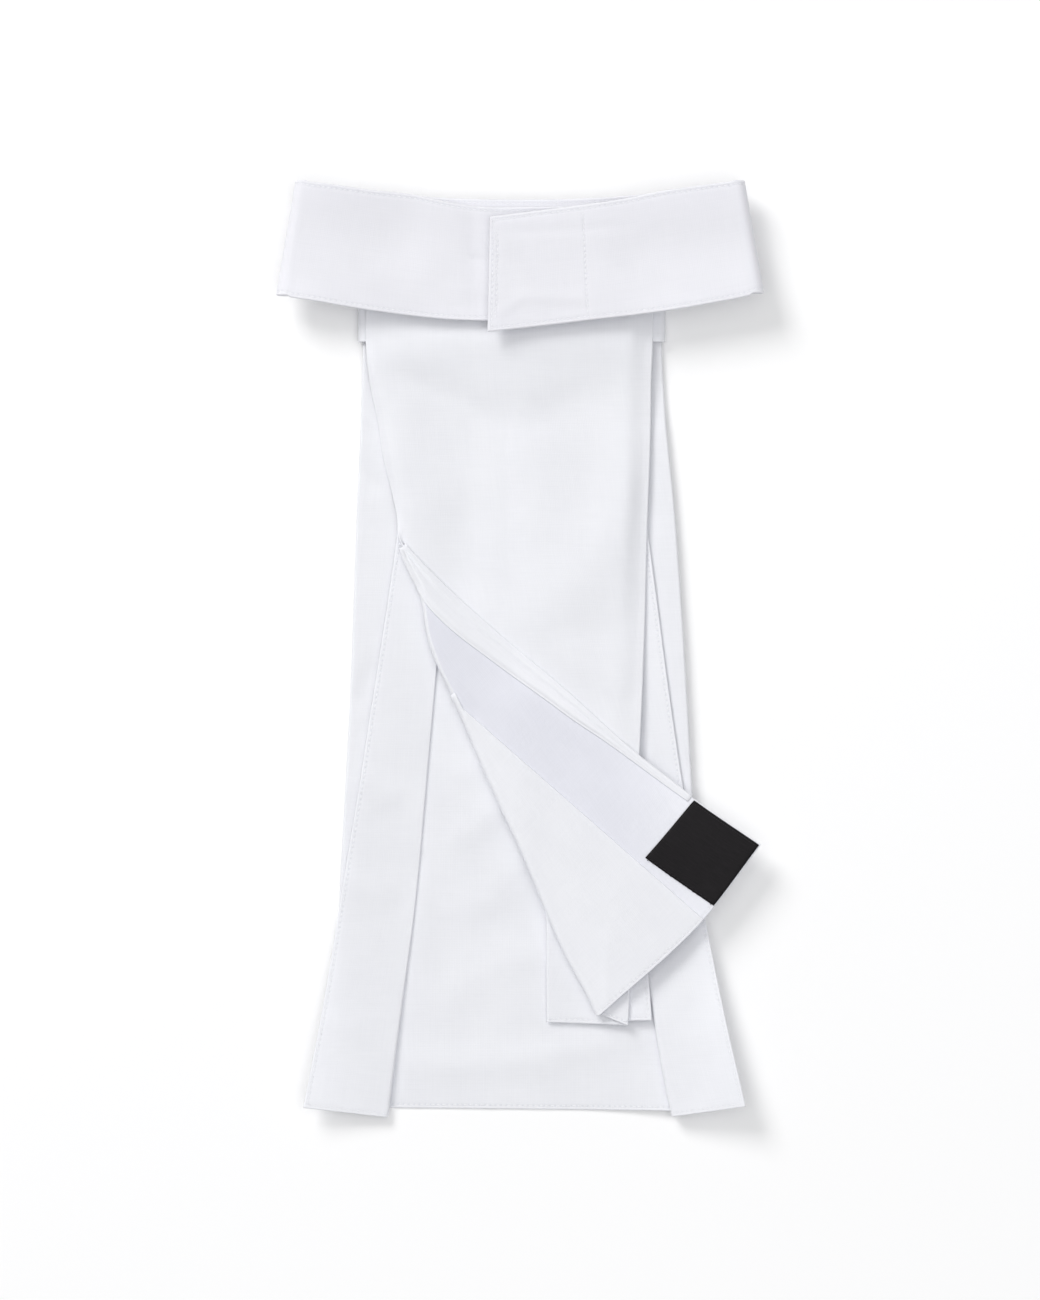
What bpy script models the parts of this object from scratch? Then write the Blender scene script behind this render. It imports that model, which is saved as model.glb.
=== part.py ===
"""Equestrian stock tie of white cotton, laid flat with its neck band closed.

The tie lies on the XY plane with its front tail up. +Y runs from the hems to the neck band and +Z is up.
Every piece is a wall of cloth built on a grid of points along its middle: rows run down the tail, columns run
across it, and a fold is a half round of columns between two layers. Run it with
blender --background --python part.py, or from the text editor.
"""

import math

import bpy
import numpy as np

# Driving dimensions, in metres.
CLOTH = 0.0010  # wall of every layer of cotton
BAND_WALL = 0.0012  # stiffened neck band
TAPE_WALL = 0.0010  # closure tapes
SEAM = 0.0003  # gap between pieces that touch
LAYER = 0.0014  # from the middle of one folded layer to the middle of the next
REAR_HEM_Y = -0.1866
FRONT_HEM_Y = -0.1519
APEX_Y = 0.0466  # where the front tail's corner starts to turn back
HEM_LIFT = 0.0060  # the rear side panels' outer hem corners stand this much off their layer
INNER_LIFT = 0.35  # share of that lift at their inner folds
FLAP_PUFF = 0.0010  # how much fuller than pressed flat the turned corner's fold is
TIP_LIFT = 0.0006  # the turned corner's tip rises this much past the front tail's right edge
VALLEY_DEPTH = 0.0020  # the front tail sinks this much between the rear side panels
HEM_SINK = 0.0007  # and this much more at its hem
EDGE_RISE = 0.0050  # the tails' right edges stand this much off the surface
SLEEVE_TOP_Y = 0.1570
SLEEVE_HEM_Y = 0.1254
SLEEVE_LEFT_X = -0.0659
SLEEVE_RIGHT_X = 0.0591
LABEL_WIDTH = 0.0326
LABEL_DEPTH = 0.0306
TAPE_LEFT_X = -0.0110
TAPE_RIGHT_X = 0.0280
TAPE_LOW_Y = 0.1375
TAPE_HIGH_Y = 0.1705
NECK_HOLLOW = 0.0052  # clear height inside the closed band at its wings, which stand past the tails
BAND_SAG = 0.0044  # over the tails the band's upper layers sag this much
WING_PUFF = 0.0017  # each layer of the band bows away from the other this much towards the wings

# Where one form gives way to the next: places along Y, X or across the cloth.
SLEEVE_RAMP = (0.095, 0.119)  # the rear tail climbs onto the sleeve's lower layer
SLEEVE_CLIMB = (0.090, 0.121)  # the front tail climbs over the sleeve
HEM_LIFT_START = -0.100  # the rear side panels start to lift
VALLEY_RAMP = (0.003, 0.034)  # the front tail's sink, inside the rear side panels
VALLEY_FALL = (-0.090, -0.130)  # and its deeper sink at the hem
PLEAT_RAMP = (0.034, 0.003)  # the front tail's climb onto its pleat, short of the pleat's fold
PUFF_REACH = 0.018  # the turned corner's fullness, from its fold
TIP_RAMP = (0.048, 0.098)
EDGE_RAMP = (0.022, 0.100)  # the right edges' rise
EDGE_TOP = (0.115, 0.085)  # and where it starts below the sleeve
SAG_RAMP = (0.075, 0.048)
WING_RAMP = (0.066, 0.092)
TAPE_RAMP = (0.088, 0.048)  # the right end climbs onto the tapes
REAR_HEM_RAMP = -0.150  # the hems turn out of square below these
FRONT_HEM_RAMP = -0.130
FOLD_HEM_RAMP = -0.110
TURNED_HEM_RAMP = -0.095
TURNED_FROM_Y = 0.040  # below this the corner lies turned back, above it the edge is a lip
FACING_TOP_Y = -0.0235
FACING_INSET_RAMP = (-0.004, -0.020)

ROLL_STEPS = 4  # columns round a fold
FLAP_STEPS = 8  # columns from the turned corner's fold to its upper edge
PANEL_STEPS = 4  # across a rear side panel
RETURN_STEPS = 3  # across a hidden return
CENTRE_STEPS = 6  # across the rear tail's centre
FRONT_STEPS = 8  # across the front tail
FACING_STEPS = 7
BEND_STEPS = 6  # round each folded end of the band and of the sleeve
STRIP_STEPS = 3  # across the rolled edge, and each way of the label

# Rear tail, in millimetres: outlines at each y, from the left side panel's hem to the right side panel's hem.
# hem_l and hem_r are the side panels' hems, fold_l and fold_r their inner folds, edge_l and edge_r the tail's edges.
REAR_COLUMNS = ("y", "hem_l", "fold_l", "edge_l", "edge_r", "fold_r", "hem_r")
REAR_ROWS = (
    (162.0, -36.5, -17.0, -63.9, 57.5, 2.0, 38.0),
    (141.0, -38.0, -18.3, -63.9, 57.5, 4.2, 39.8),
    (124.7, -39.5, -19.5, -63.9, 57.6, 5.7, 41.1),
    (109.0, -41.5, -21.2, -64.3, 58.3, 8.4, 43.3),
    (93.4, -43.6, -23.0, -64.7, 59.3, 11.2, 45.5),
    (60.8, -47.8, -26.6, -66.2, 62.5, 17.0, 50.0),
    (20.1, -53.5, -31.2, -67.6, 65.5, 24.0, 55.4),
    (-20.6, -59.8, -35.0, -69.2, 68.0, 31.2, 60.8),
    (-57.2, -65.5, -38.3, -71.1, 70.0, 37.8, 66.3),
    (-84.0, -69.9, -40.6, -72.6, 71.6, 42.6, 71.0),
    (-107.2, -73.7, -43.0, -73.7, 72.9, 46.8, 74.8),
    (-128.0, -77.0, -45.7, -74.6, 73.8, 50.6, 78.7),
    (-145.5, -80.0, -48.0, -75.4, 74.6, 53.6, 82.3),
    (-166.0, -83.8, -50.7, -76.4, 75.6, 57.0, 86.7),
    (-186.6, -87.7, -53.5, -77.3, 76.5, 61.5, 91.2),
)
# The rear hem isn't square: how far each of those lines ends above or below it, in millimetres.
REAR_HEM_OFF = (1.0, -3.1, 0.8, -0.7, -2.6, 1.8)

# Front tail, in millimetres: its right edge and its left outline, which below the apex is the turned corner's fold,
# then the inner fold and the hem of the pleat under its right side.
FRONT_COLUMNS = ("y", "right", "left", "pleat_fold", "pleat_hem")
FRONT_ROWS = (
    (162.0, 54.1, -62.3, 14.0, 31.0),
    (141.0, 54.0, -62.4, 13.5, 32.5),
    (124.7, 53.9, -62.4, 13.0, 34.0),
    (109.0, 53.3, -60.9, 12.6, 35.0),
    (93.4, 53.1, -57.8, 12.3, 36.0),
    (77.0, 52.7, -55.2, 12.0, 37.0),
    (63.0, 52.2, -51.6, 11.9, 38.0),
    (53.0, 51.8, -49.7, 11.8, 38.6),
    (47.5, 51.6, -49.4, 11.8, 39.0),
    (43.5, 51.5, -48.8, 11.8, 39.2),
    (38.5, 51.4, -47.6, 11.7, 39.5),
    (30.4, 51.2, -44.3, 11.6, 40.0),
    (20.1, 51.0, -41.0, 11.5, 40.8),
    (5.0, 50.5, -37.3, 11.4, 41.8),
    (-12.0, 49.9, -31.1, 11.2, 43.0),
    (-28.0, 49.2, -23.7, 11.1, 44.2),
    (-45.0, 48.4, -16.4, 11.0, 45.4),
    (-62.0, 47.7, -8.9, 10.9, 46.7),
    (-80.0, 47.0, -0.6, 10.8, 48.2),
    (-98.0, 46.2, 6.9, 10.7, 49.6),
    (-115.0, 45.4, 14.0, 10.7, 50.8),
    (-130.0, 44.9, 20.6, 10.7, 51.8),
    (-142.0, 44.4, 26.5, 10.8, 52.7),
    (-151.9, 44.0, 30.9, 10.9, 53.3),
)
# How far the front hem's lines end above or below it, in millimetres: right edge, fold, pleat fold, pleat hem.
FRONT_HEM_OFF = (-0.3, 3.3, 0.7, 1.7)
# Above the apex the left edge is a soft lip that starts to turn: angle in degrees, width in millimetres, at each y.
LIP_COLUMNS = ("y", "turn", "width")
LIP_ROWS = (
    (162.0, 0, 3.0),
    (122.0, 0, 3.0),
    (104.0, -14, 3.0),
    (63.0, -14, 3.0),
    (53.0, 10, 2.4),
    (47.5, 62, 2.2),
    (43.5, 125, 2.6),
    (38.5, 180, 4.0),
)
# The turned corner's upper edge, the line where the facing stops, and its hem, in millimetres.
UPPER_EDGE = ((-49.2, 47.0), (-30.5, 27.1), (-7.3, 4.3), (16.1, -15.1), (48.8, -44.2), (73.0, -62.3), (97.3, -78.9))
FACING_EDGE = ((-29.4, -18.5), (73.3, -108.5))
TURNED_HEM = ((30.9, -148.6), (73.6, -109.3), (97.3, -78.9))
# Width of the rolled edge beside the upper edge, in millimetres, at each y of the fold that its row starts from.
ROLLED_COLUMNS = ("y", "width")
ROLLED_ROWS = (
    (36.0, 4.2),
    (28.0, 7.6),
    (19.3, 9.3),
    (2.5, 8.9),
    (-13.2, 7.6),
    (-28.7, 6.7),
    (-43.6, 6.4),
    (-59.1, 5.6),
    (-75.0, 3.4),
    (-87.4, 2.0),
    (-100.0, 1.4),
    (-117.0, 1.2),
)

# Neck band, in millimetres, at each x of its lower edge: the lower and upper edges of the left end, of the right end
# and of the stretch at the throat. The band tapers upwards, so its upper edge stands at x times BAND_TAPER.
BAND_TAPER = 0.921
BAND_COLUMNS = ("x", "low", "high")
LEFT_END = (
    (38.0, 137.2, 180.2),
    (20.0, 135.2, 179.4),
    (0.0, 134.0, 179.1),
    (-14.0, 133.8, 179.1),
    (-33.0, 134.6, 181.4),
    (-46.0, 136.0, 184.0),
    (-65.9, 138.7, 186.0),
    (-84.0, 141.7, 188.3),
    (-96.0, 143.5, 189.6),
)
RIGHT_END = (
    (-12.8, 129.1, 175.0),
    (7.0, 131.3, 177.3),
    (30.5, 134.1, 180.1),
    (48.0, 136.1, 182.6),
    (62.0, 138.0, 185.3),
    (77.2, 140.6, 187.4),
    (88.8, 142.8, 188.8),
    (96.0, 144.4, 189.6),
)
THROAT = (
    (-96.0, 144.6, 189.6),
    (-80.0, 142.6, 187.3),
    (-65.0, 140.5, 185.5),
    (-35.0, 137.8, 183.1),
    (0.0, 136.9, 182.3),
    (35.0, 137.8, 183.1),
    (65.0, 140.5, 185.5),
    (80.0, 142.6, 187.3),
    (96.0, 144.9, 189.6),
)

MM = 0.001

BAND_END_X = 0.0989  # the folded ends' outermost x at the lower edge
BEND_REACH = 0.0045  # how far each folded end curves out, at most
BEND_LOW_Y = {-1: 0.1439, 1: 0.1448}  # lower edge of the left and right folded ends
BEND_HIGH_Y = 0.1898

WHITE_COTTON = (0.80, 0.81, 0.86, 1.0)
WHITE_TAPE = (0.74, 0.74, 0.78, 1.0)
BLACK_WEAVE = (0.012, 0.011, 0.013, 1.0)


def clear_scene():
    for obj in list(bpy.data.objects):
        bpy.data.objects.remove(obj, do_unlink=True)


def material(name, colour, roughness):
    mat = bpy.data.materials.get(name) or bpy.data.materials.new(name)
    mat.use_nodes = True
    shader = mat.node_tree.nodes["Principled BSDF"]
    shader.inputs["Base Color"].default_value = colour
    shader.inputs["Roughness"].default_value = roughness
    shader.inputs["Metallic"].default_value = 0.0
    return mat


def ease(start, end, value):
    """0 at start, 1 at end, with a soft beginning and end."""
    t = min(1.0, max(0.0, (value - start) / (end - start)))
    return t * t * (3 - 2 * t)


class Lines:
    """A table of lines, each read smoothly between its rows; lengths leave in metres."""

    def __init__(self, columns, rows):
        rows = sorted(rows)
        self.at = np.array([row[0] for row in rows]) * MM
        self.values = {name: np.array([row[i + 1] for row in rows]) * MM for i, name in enumerate(columns[1:])}

    def read(self, name, at):
        """The cubic through the rows next to this place, with slopes taken from their neighbours."""
        x, y = self.at, self.values[name]
        i = int(np.clip(np.searchsorted(x, at) - 1, 0, len(x) - 2))
        slope = np.gradient(y, x)
        width = x[i + 1] - x[i]
        t = (at - x[i]) / width
        return (
            y[i] * (1 + 2 * t) * (1 - t) ** 2
            + y[i + 1] * t * t * (3 - 2 * t)
            + width * slope[i] * t * (1 - t) ** 2
            - width * slope[i + 1] * t * t * (1 - t)
        )


class Path:
    """A chain of points in the XY plane, read by its share of the length."""

    def __init__(self, points):
        self.points = np.array(points) * MM
        steps = np.linalg.norm(np.diff(self.points, axis=0), axis=1)
        self.along = np.concatenate([[0], np.cumsum(steps)])

    def read(self, share):
        return np.array([np.interp(share * self.along[-1], self.along, self.points[:, k]) for k in (0, 1)])


REAR = Lines(REAR_COLUMNS, REAR_ROWS)
FRONT = Lines(FRONT_COLUMNS, FRONT_ROWS)
LIP = Lines(LIP_COLUMNS, LIP_ROWS)
ROLLED = Lines(ROLLED_COLUMNS, ROLLED_ROWS)
UPPER = Path(UPPER_EDGE)
HEM = Path(TURNED_HEM)


# Heights of the middle of each layer.
SLEEVE_STEP = CLOTH + SEAM  # the sleeve's lower layer lifts all that lies on it


def rear_base(y):
    """Middle of the rear tail's centre: on the surface, and on the sleeve's lower layer near the band."""
    return CLOTH / 2 + SLEEVE_STEP * ease(*SLEEVE_RAMP, y)


def rear_side_lift(y, share):
    """How far a side panel stands off its layer; share runs from its inner fold, 0, to its hem, 1."""
    return HEM_LIFT * ease(HEM_LIFT_START, REAR_HEM_Y, y) ** 1.5 * (INNER_LIFT + (1 - INNER_LIFT) * share)


def front_base(x, y):
    """Middle of the front tail's lowest layer, which lies on the rear side panels and sinks between them."""
    on_rear = CLOTH / 2 + 2 * LAYER + CLOTH + SEAM
    near_sleeve = ease(*SLEEVE_CLIMB, y)
    inside = min(x - REAR.read("fold_l", y), REAR.read("fold_r", y) - x)
    sink = (VALLEY_DEPTH + HEM_SINK * ease(*VALLEY_FALL, y)) * (1 - near_sleeve)
    return on_rear + 2 * SLEEVE_STEP * near_sleeve - sink * ease(*VALLEY_RAMP, inside)


def front_height(x, y):
    """Middle of the front tail's upper layer, over the two layers of the pleat under its right side."""
    pleat_left = FRONT.read("pleat_fold", y)
    return front_base(x, y) + 2 * LAYER * ease(pleat_left - PLEAT_RAMP[0], pleat_left - PLEAT_RAMP[1], x)


def flap_height(x, y, from_fold):
    """Middle of the turned corner, on the front tail, fuller near its fold and rising at its tip."""
    puff = FLAP_PUFF * (1 - ease(0.0, PUFF_REACH, from_fold))
    return front_height(x, y) + LAYER + puff + TIP_LIFT * ease(*TIP_RAMP, x)


def edge_rise(x, y):
    """How far both tails stand off the surface towards their right edges."""
    return EDGE_RISE * ease(*EDGE_RAMP, x) * ease(*EDGE_TOP, y)


def risen(grid):
    """The grid of a tail's piece with that rise."""
    return [[point + np.array((0.0, 0.0, edge_rise(point[0], point[1]))) for point in row] for row in grid]


# Grids. A row is a list of points across the cloth; each grid is a list of rows of one length.
def fold(edge, y, low, high, side, upwards, wall=CLOTH):
    """The half round of a fold whose outermost x is edge, between the middles low and high of its two layers."""
    radius = (high - low) / 2
    centre_x = edge - side * (radius + wall / 2)
    angles = [math.pi * (k / ROLL_STEPS - 0.5) for k in range(ROLL_STEPS + 1)]
    points = [
        np.array((centre_x + side * radius * math.cos(a), y, (low + high) / 2 + radius * math.sin(a))) for a in angles
    ]
    return points if upwards else points[::-1]


def between(start, end, steps):
    """Points strictly between two points, evenly spaced."""
    return [start + (end - start) * k / steps for k in range(1, steps)]


def rear_tail_row(y, hem_share):
    """Across the rear tail: left side panel, return, centre, return, right side panel."""
    hem_l, fold_l, edge_l, edge_r, fold_r, hem_r = (REAR.read(name, y) for name in REAR_COLUMNS[1:])
    ends = [y + off * MM * hem_share for off in REAR_HEM_OFF]
    low = rear_base(y)
    lift = rear_side_lift(y, 0.0)
    top = low + 2 * LAYER
    left_hem = np.array((hem_l, ends[0], top + rear_side_lift(y, 1.0)))
    right_hem = np.array((hem_r, ends[5], top + rear_side_lift(y, 1.0)))
    left_inner = fold(fold_l, ends[1], low + LAYER, top + lift, 1, False)
    left_edge = fold(edge_l, ends[2], low, low + LAYER, -1, False)
    right_edge = fold(edge_r, ends[3], low, low + LAYER, 1, True)
    right_inner = fold(fold_r, ends[4], low + LAYER, top + lift, -1, True)
    row = [left_hem, *between(left_hem, left_inner[0], PANEL_STEPS), *left_inner]
    row += [*between(left_inner[-1], left_edge[0], RETURN_STEPS), *left_edge]
    row += [*between(left_edge[-1], right_edge[0], CENTRE_STEPS), *right_edge]
    row += [*between(right_edge[-1], right_inner[0], RETURN_STEPS), *right_inner]
    row += [*between(right_inner[-1], right_hem, PANEL_STEPS), right_hem]
    return row


def rear_tail_grid():
    ys = [row[0] * MM for row in REAR_ROWS]
    return [rear_tail_row(y, ease(REAR_HEM_RAMP, REAR_HEM_Y, y)) for y in ys]


def fold_point(y):
    """Where the turned corner's fold line passes, on the outline, for the row that starts at this y."""
    off = FRONT_HEM_OFF[1] * MM * ease(FOLD_HEM_RAMP, FRONT_HEM_Y, y)
    return np.array((FRONT.read("left", y), y + off))


def tip_point(y):
    """Where the turned row that starts at this y reaches the upper edge."""
    return UPPER.read((APEX_Y - y) / (APEX_Y - FRONT_HEM_Y))


def inset_fold(y):
    """The front tail's own fold stays inside the outline where the facing goes round it."""
    return (CLOTH + SEAM) * ease(*FACING_INSET_RAMP, y)


def fold_out(y):
    """Outward direction across the fold line, in the XY plane."""
    reach = 0.004
    run = fold_point(y - reach) - fold_point(y + reach)
    run /= np.linalg.norm(run)
    return np.array((run[1], -run[0]))


def flap_place(y, share):
    """A point of the turned corner's middle; share runs from its fold, 0, to its upper edge, 1."""
    out = fold_out(y)
    radius = (LAYER + FLAP_PUFF) / 2
    start = fold_point(y) - out * (inset_fold(y) + CLOTH / 2 + radius)
    end = tip_point(y)
    xy = start + (end - start) * share
    bend = HEM.read(share) - (fold_point(FRONT_HEM_Y) + (tip_point(FRONT_HEM_Y) - fold_point(FRONT_HEM_Y)) * share)
    xy = xy + bend * ease(TURNED_HEM_RAMP, FRONT_HEM_Y, y)
    return np.array((*xy, flap_height(*xy, share * np.linalg.norm(end - start))))


def turned_edge(y):
    """Below the apex: the half round of the fold, then the turned corner up to its upper edge."""
    top = flap_place(y, 0.0)
    low = front_height(top[0], top[1])
    radius = (top[2] - low) / 2
    out = np.array((*fold_out(y), 0.0))
    centre = np.array((top[0], top[1], low + radius))
    up = np.array((0.0, 0.0, 1.0))
    angles = [math.pi * (k / ROLL_STEPS - 0.5) for k in range(ROLL_STEPS)]
    roll = [centre + radius * (out * math.cos(a) + up * math.sin(a)) for a in angles]
    return roll + [flap_place(y, k / FLAP_STEPS) for k in range(FLAP_STEPS + 1)]


def lip_edge(y):
    """Above the apex: a narrow lip at the left edge that turns up more and more towards the apex."""
    turn = LIP.read("turn", y) / MM
    width = LIP.read("width", y)
    steps = ROLL_STEPS + FLAP_STEPS
    radius = (LAYER + FLAP_PUFF) / 2
    out, rise, spots = 0.0, 0.0, [(0.0, 0.0)]
    for k in range(steps):
        step = width / steps
        if turn > 0:
            angle = min(math.radians(turn), (k + 0.5) * step / radius)
        else:
            angle = math.radians(turn) * (k + 0.5) / steps
        out += step * math.cos(angle)
        rise += step * math.sin(angle)
        spots.append((out, rise))
    reach = max(spot[0] for spot in spots) + (CLOTH / 2 if turn > 45 else 0)
    start = FRONT.read("left", y) + reach
    base = front_height(start, y)
    return [np.array((start - spot[0], y, base + spot[1])) for spot in spots]


def front_tail_row(y, hem_share):
    """Across the front tail: turned corner, fold, front, right edge, return and the pleat's lower layer."""
    ends = [y + off * MM * hem_share for off in FRONT_HEM_OFF]
    right, pleat_fold, pleat_hem = (FRONT.read(name, y) for name in ("right", "pleat_fold", "pleat_hem"))
    left = turned_edge(y) if y < TURNED_FROM_Y else lip_edge(y)
    low = front_base(right - CLOTH, y)
    right_edge = fold(right, ends[0], low + LAYER, low + 2 * LAYER, 1, False)
    low = front_base(pleat_fold + CLOTH, y)
    inner = fold(pleat_fold, ends[2], low, low + LAYER, -1, False)
    last = np.array((pleat_hem, ends[3], front_base(pleat_hem, y)))
    front = between(left[0], right_edge[0], FRONT_STEPS)
    under = between(right_edge[-1], inner[0], RETURN_STEPS)
    lowest = between(inner[-1], last, RETURN_STEPS)
    for point in front:
        point[2] = front_height(point[0], y)
    for point in under:
        point[2] = front_base(point[0], y) + LAYER
    for point in lowest:
        point[2] = front_base(point[0], y)
    return [*left[::-1], *front, *right_edge, *under, *inner, *lowest, last]


def front_tail_grid():
    ys = [row[0] * MM for row in FRONT_ROWS]
    return [front_tail_row(y, ease(FRONT_HEM_RAMP, FRONT_HEM_Y, y)) for y in ys]


def row_share_at_facing_edge(y):
    """How far along its turned row, from the fold, the facing reaches."""
    a, b = (np.array(point) * MM for point in FACING_EDGE)
    normal = np.array((a[1] - b[1], b[0] - a[0]))
    shares = np.linspace(0, 1, 201)
    sides = [float((flap_place(y, s)[:2] - a) @ normal) for s in shares]
    return float(np.interp(0.0, sides, shares))


def raised(y, share, height):
    point = flap_place(y, share)
    point[2] += height
    return point


def facing_grid():
    """The panel on the turned corner: it comes round the fold from its outermost point and stops at its edge."""
    ys = [FACING_TOP_Y] + [row[0] * MM for row in FRONT_ROWS if row[0] * MM < FACING_TOP_Y]
    gap = CLOTH + SEAM
    grid = []
    for y in ys:
        top = flap_place(y, 0.0)
        low = front_height(top[0], top[1])
        inner = (top[2] - low) / 2
        out = np.array((*fold_out(y), 0.0))
        centre = np.array((top[0], top[1], low + inner))
        wrap = [
            centre + (inner + gap) * (out * math.cos(a) + np.array((0.0, 0.0, math.sin(a))))
            for a in (0.0, math.pi / 6, math.pi / 3)
        ]
        stop = row_share_at_facing_edge(y)
        grid.append(wrap + [raised(y, stop * k / FACING_STEPS, gap) for k in range(FACING_STEPS + 1)])
    return grid


def rolled_edge_grid():
    """The narrow turning along the upper edge, on the turned corner."""
    grid = []
    for row in ROLLED_ROWS:
        y = row[0] * MM
        length = np.linalg.norm((flap_place(y, 1.0) - flap_place(y, 0.0))[:2])
        start = max(0.02, 1 - ROLLED.read("width", y) / length)
        shares = [start + (1 - start) * k / STRIP_STEPS for k in range(STRIP_STEPS + 1)]
        grid.append([raised(y, share, CLOTH + SEAM) for share in shares])
    return grid


def label_grid():
    """The label, square to the turned corner's tip and flush with its two edges."""
    span = APEX_Y - FRONT_HEM_Y
    margin = SEAM
    last = FRONT_HEM_Y + margin * span / UPPER.along[-1]
    first = last + LABEL_WIDTH * span / UPPER.along[-1]
    grid = []
    for y in np.linspace(first, last, STRIP_STEPS + 1):
        length = np.linalg.norm((flap_place(y, 1.0) - flap_place(y, 0.0))[:2])
        far = 1 - margin / length
        near = far - LABEL_DEPTH / length
        shares = [near + (far - near) * k / STRIP_STEPS for k in range(STRIP_STEPS + 1)]
        grid.append([raised(y, share, CLOTH + SEAM) for share in shares])
    return grid


# Heights of the neck band's layers over the tails.
TAILS_TOP = CLOTH / 2 + 2 * LAYER + CLOTH + SEAM + 2 * SLEEVE_STEP + 2 * LAYER + CLOTH / 2
THROAT_Z = TAILS_TOP + SEAM + BAND_WALL / 2
LEFT_END_Z = THROAT_Z + BAND_WALL + NECK_HOLLOW
LOOP_TAPE_Z = LEFT_END_Z + BAND_WALL / 2 + SEAM + TAPE_WALL / 2
HOOK_TAPE_Z = LOOP_TAPE_Z + TAPE_WALL + SEAM
RIGHT_END_Z = HOOK_TAPE_Z + TAPE_WALL / 2 + SEAM + BAND_WALL / 2


def wing(x):
    """How far the band's layers bow apart: none over the tails, and full towards the ends."""
    return WING_PUFF * ease(*WING_RAMP, abs(x))


def sag(x):
    """How far the band's upper layers sag between its wings."""
    return BAND_SAG * ease(*SAG_RAMP, abs(x))


def band_station(lines, x, height):
    """The lower and upper end of one line across the band."""
    low = np.array((x, lines.read("low", x), height))
    high = np.array((x * BAND_TAPER, lines.read("high", x), height))
    return low, high


def band_bend(side):
    """Lines across the band round one of its folded ends, from the throat up to the upper layer."""
    low_z = THROAT_Z - WING_PUFF
    high_z = LEFT_END_Z + WING_PUFF
    radius = (high_z - low_z) / 2
    reach = min(radius, BEND_REACH)
    lines = []
    for k in range(BEND_STEPS + 1):
        angle = math.pi * (k / BEND_STEPS - 0.5)
        out = reach * math.cos(angle)
        z = (low_z + high_z) / 2 + radius * math.sin(angle)
        x = side * (BAND_END_X - BAND_WALL / 2 - reach + out)
        low_y = BEND_LOW_Y[side]
        lines.append((np.array((x, low_y, z)), np.array((x * BAND_TAPER, BEND_HIGH_Y, z))))
    return lines


def neck_band_grid():
    left, right, throat = (Lines(BAND_COLUMNS, rows) for rows in (LEFT_END, RIGHT_END, THROAT))
    stations = []
    for row in LEFT_END[:-1]:
        x = row[0] * MM
        stations.append(band_station(left, x, LEFT_END_Z + wing(x) - sag(x)))
    stations += band_bend(-1)[::-1]
    for row in THROAT[1:-1]:
        x = row[0] * MM
        stations.append(band_station(throat, x, THROAT_Z - wing(x)))
    stations += band_bend(1)
    over_tapes = RIGHT_END_Z - LEFT_END_Z
    for row in RIGHT_END[-2::-1]:
        x = row[0] * MM
        height = LEFT_END_Z + wing(x) - sag(x) + over_tapes * ease(*TAPE_RAMP, x)
        stations.append(band_station(right, x, height))
    return [[low + (high - low) * k / 2 for k in range(3)] for low, high in stations]


def tape_grid(z):
    xs = np.linspace(TAPE_LEFT_X, TAPE_RIGHT_X, 3)
    ys = np.linspace(TAPE_LOW_Y, TAPE_HIGH_Y, 3)
    return [[np.array((x, y, z)) for x in xs] for y in ys]


def sleeve_grid():
    """Rows round the sleeve's closed section, from its top to its hem."""
    bottom = CLOTH / 2
    top = bottom + 2 * LAYER + 2 * SLEEVE_STEP
    radius = (top - bottom) / 2
    left = SLEEVE_LEFT_X + CLOTH / 2 + radius
    right = SLEEVE_RIGHT_X - CLOTH / 2 - radius
    section = []
    for centre, start in ((right, -0.5), (left, 0.5)):
        for k in range(BEND_STEPS + 1):
            angle = math.pi * (start + k / BEND_STEPS)
            section.append((centre + radius * math.cos(angle), bottom + radius + radius * math.sin(angle)))
    ys = (SLEEVE_TOP_Y, (SLEEVE_TOP_Y + SLEEVE_HEM_Y) / 2, SLEEVE_HEM_Y)
    return [[np.array((x, y, z)) for x, z in section] for y in ys]


# Walls.
def unit(vector):
    length = np.linalg.norm(vector)
    return vector / length if length > 0 else vector


def directions(points, i, closed):
    """Unit steps before and after point i of a line."""
    count = len(points)
    if closed:
        return unit(points[i] - points[i - 1]), unit(points[(i + 1) % count] - points[i])
    before = unit(points[i] - points[i - 1]) if i > 0 else None
    after = unit(points[i + 1] - points[i]) if i < count - 1 else None
    return (before if before is not None else after), (after if after is not None else before)


def wall_sides(grid, thickness, closed):
    """The grid's points moved half a wall to each side, with mitred corners across the cloth."""
    up, down = [], []
    for i, row in enumerate(grid):
        for j, point in enumerate(row):
            before, after = directions(row, j, closed)
            above, below = directions([line[j] for line in grid], i, False)
            across = unit(before + after)
            normal = unit(np.cross(unit(above + below), across))
            reach = thickness / 2 / max(0.5, float(before @ across))
            up.append(point + normal * reach)
            down.append(point - normal * reach)
    return up, down


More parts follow.
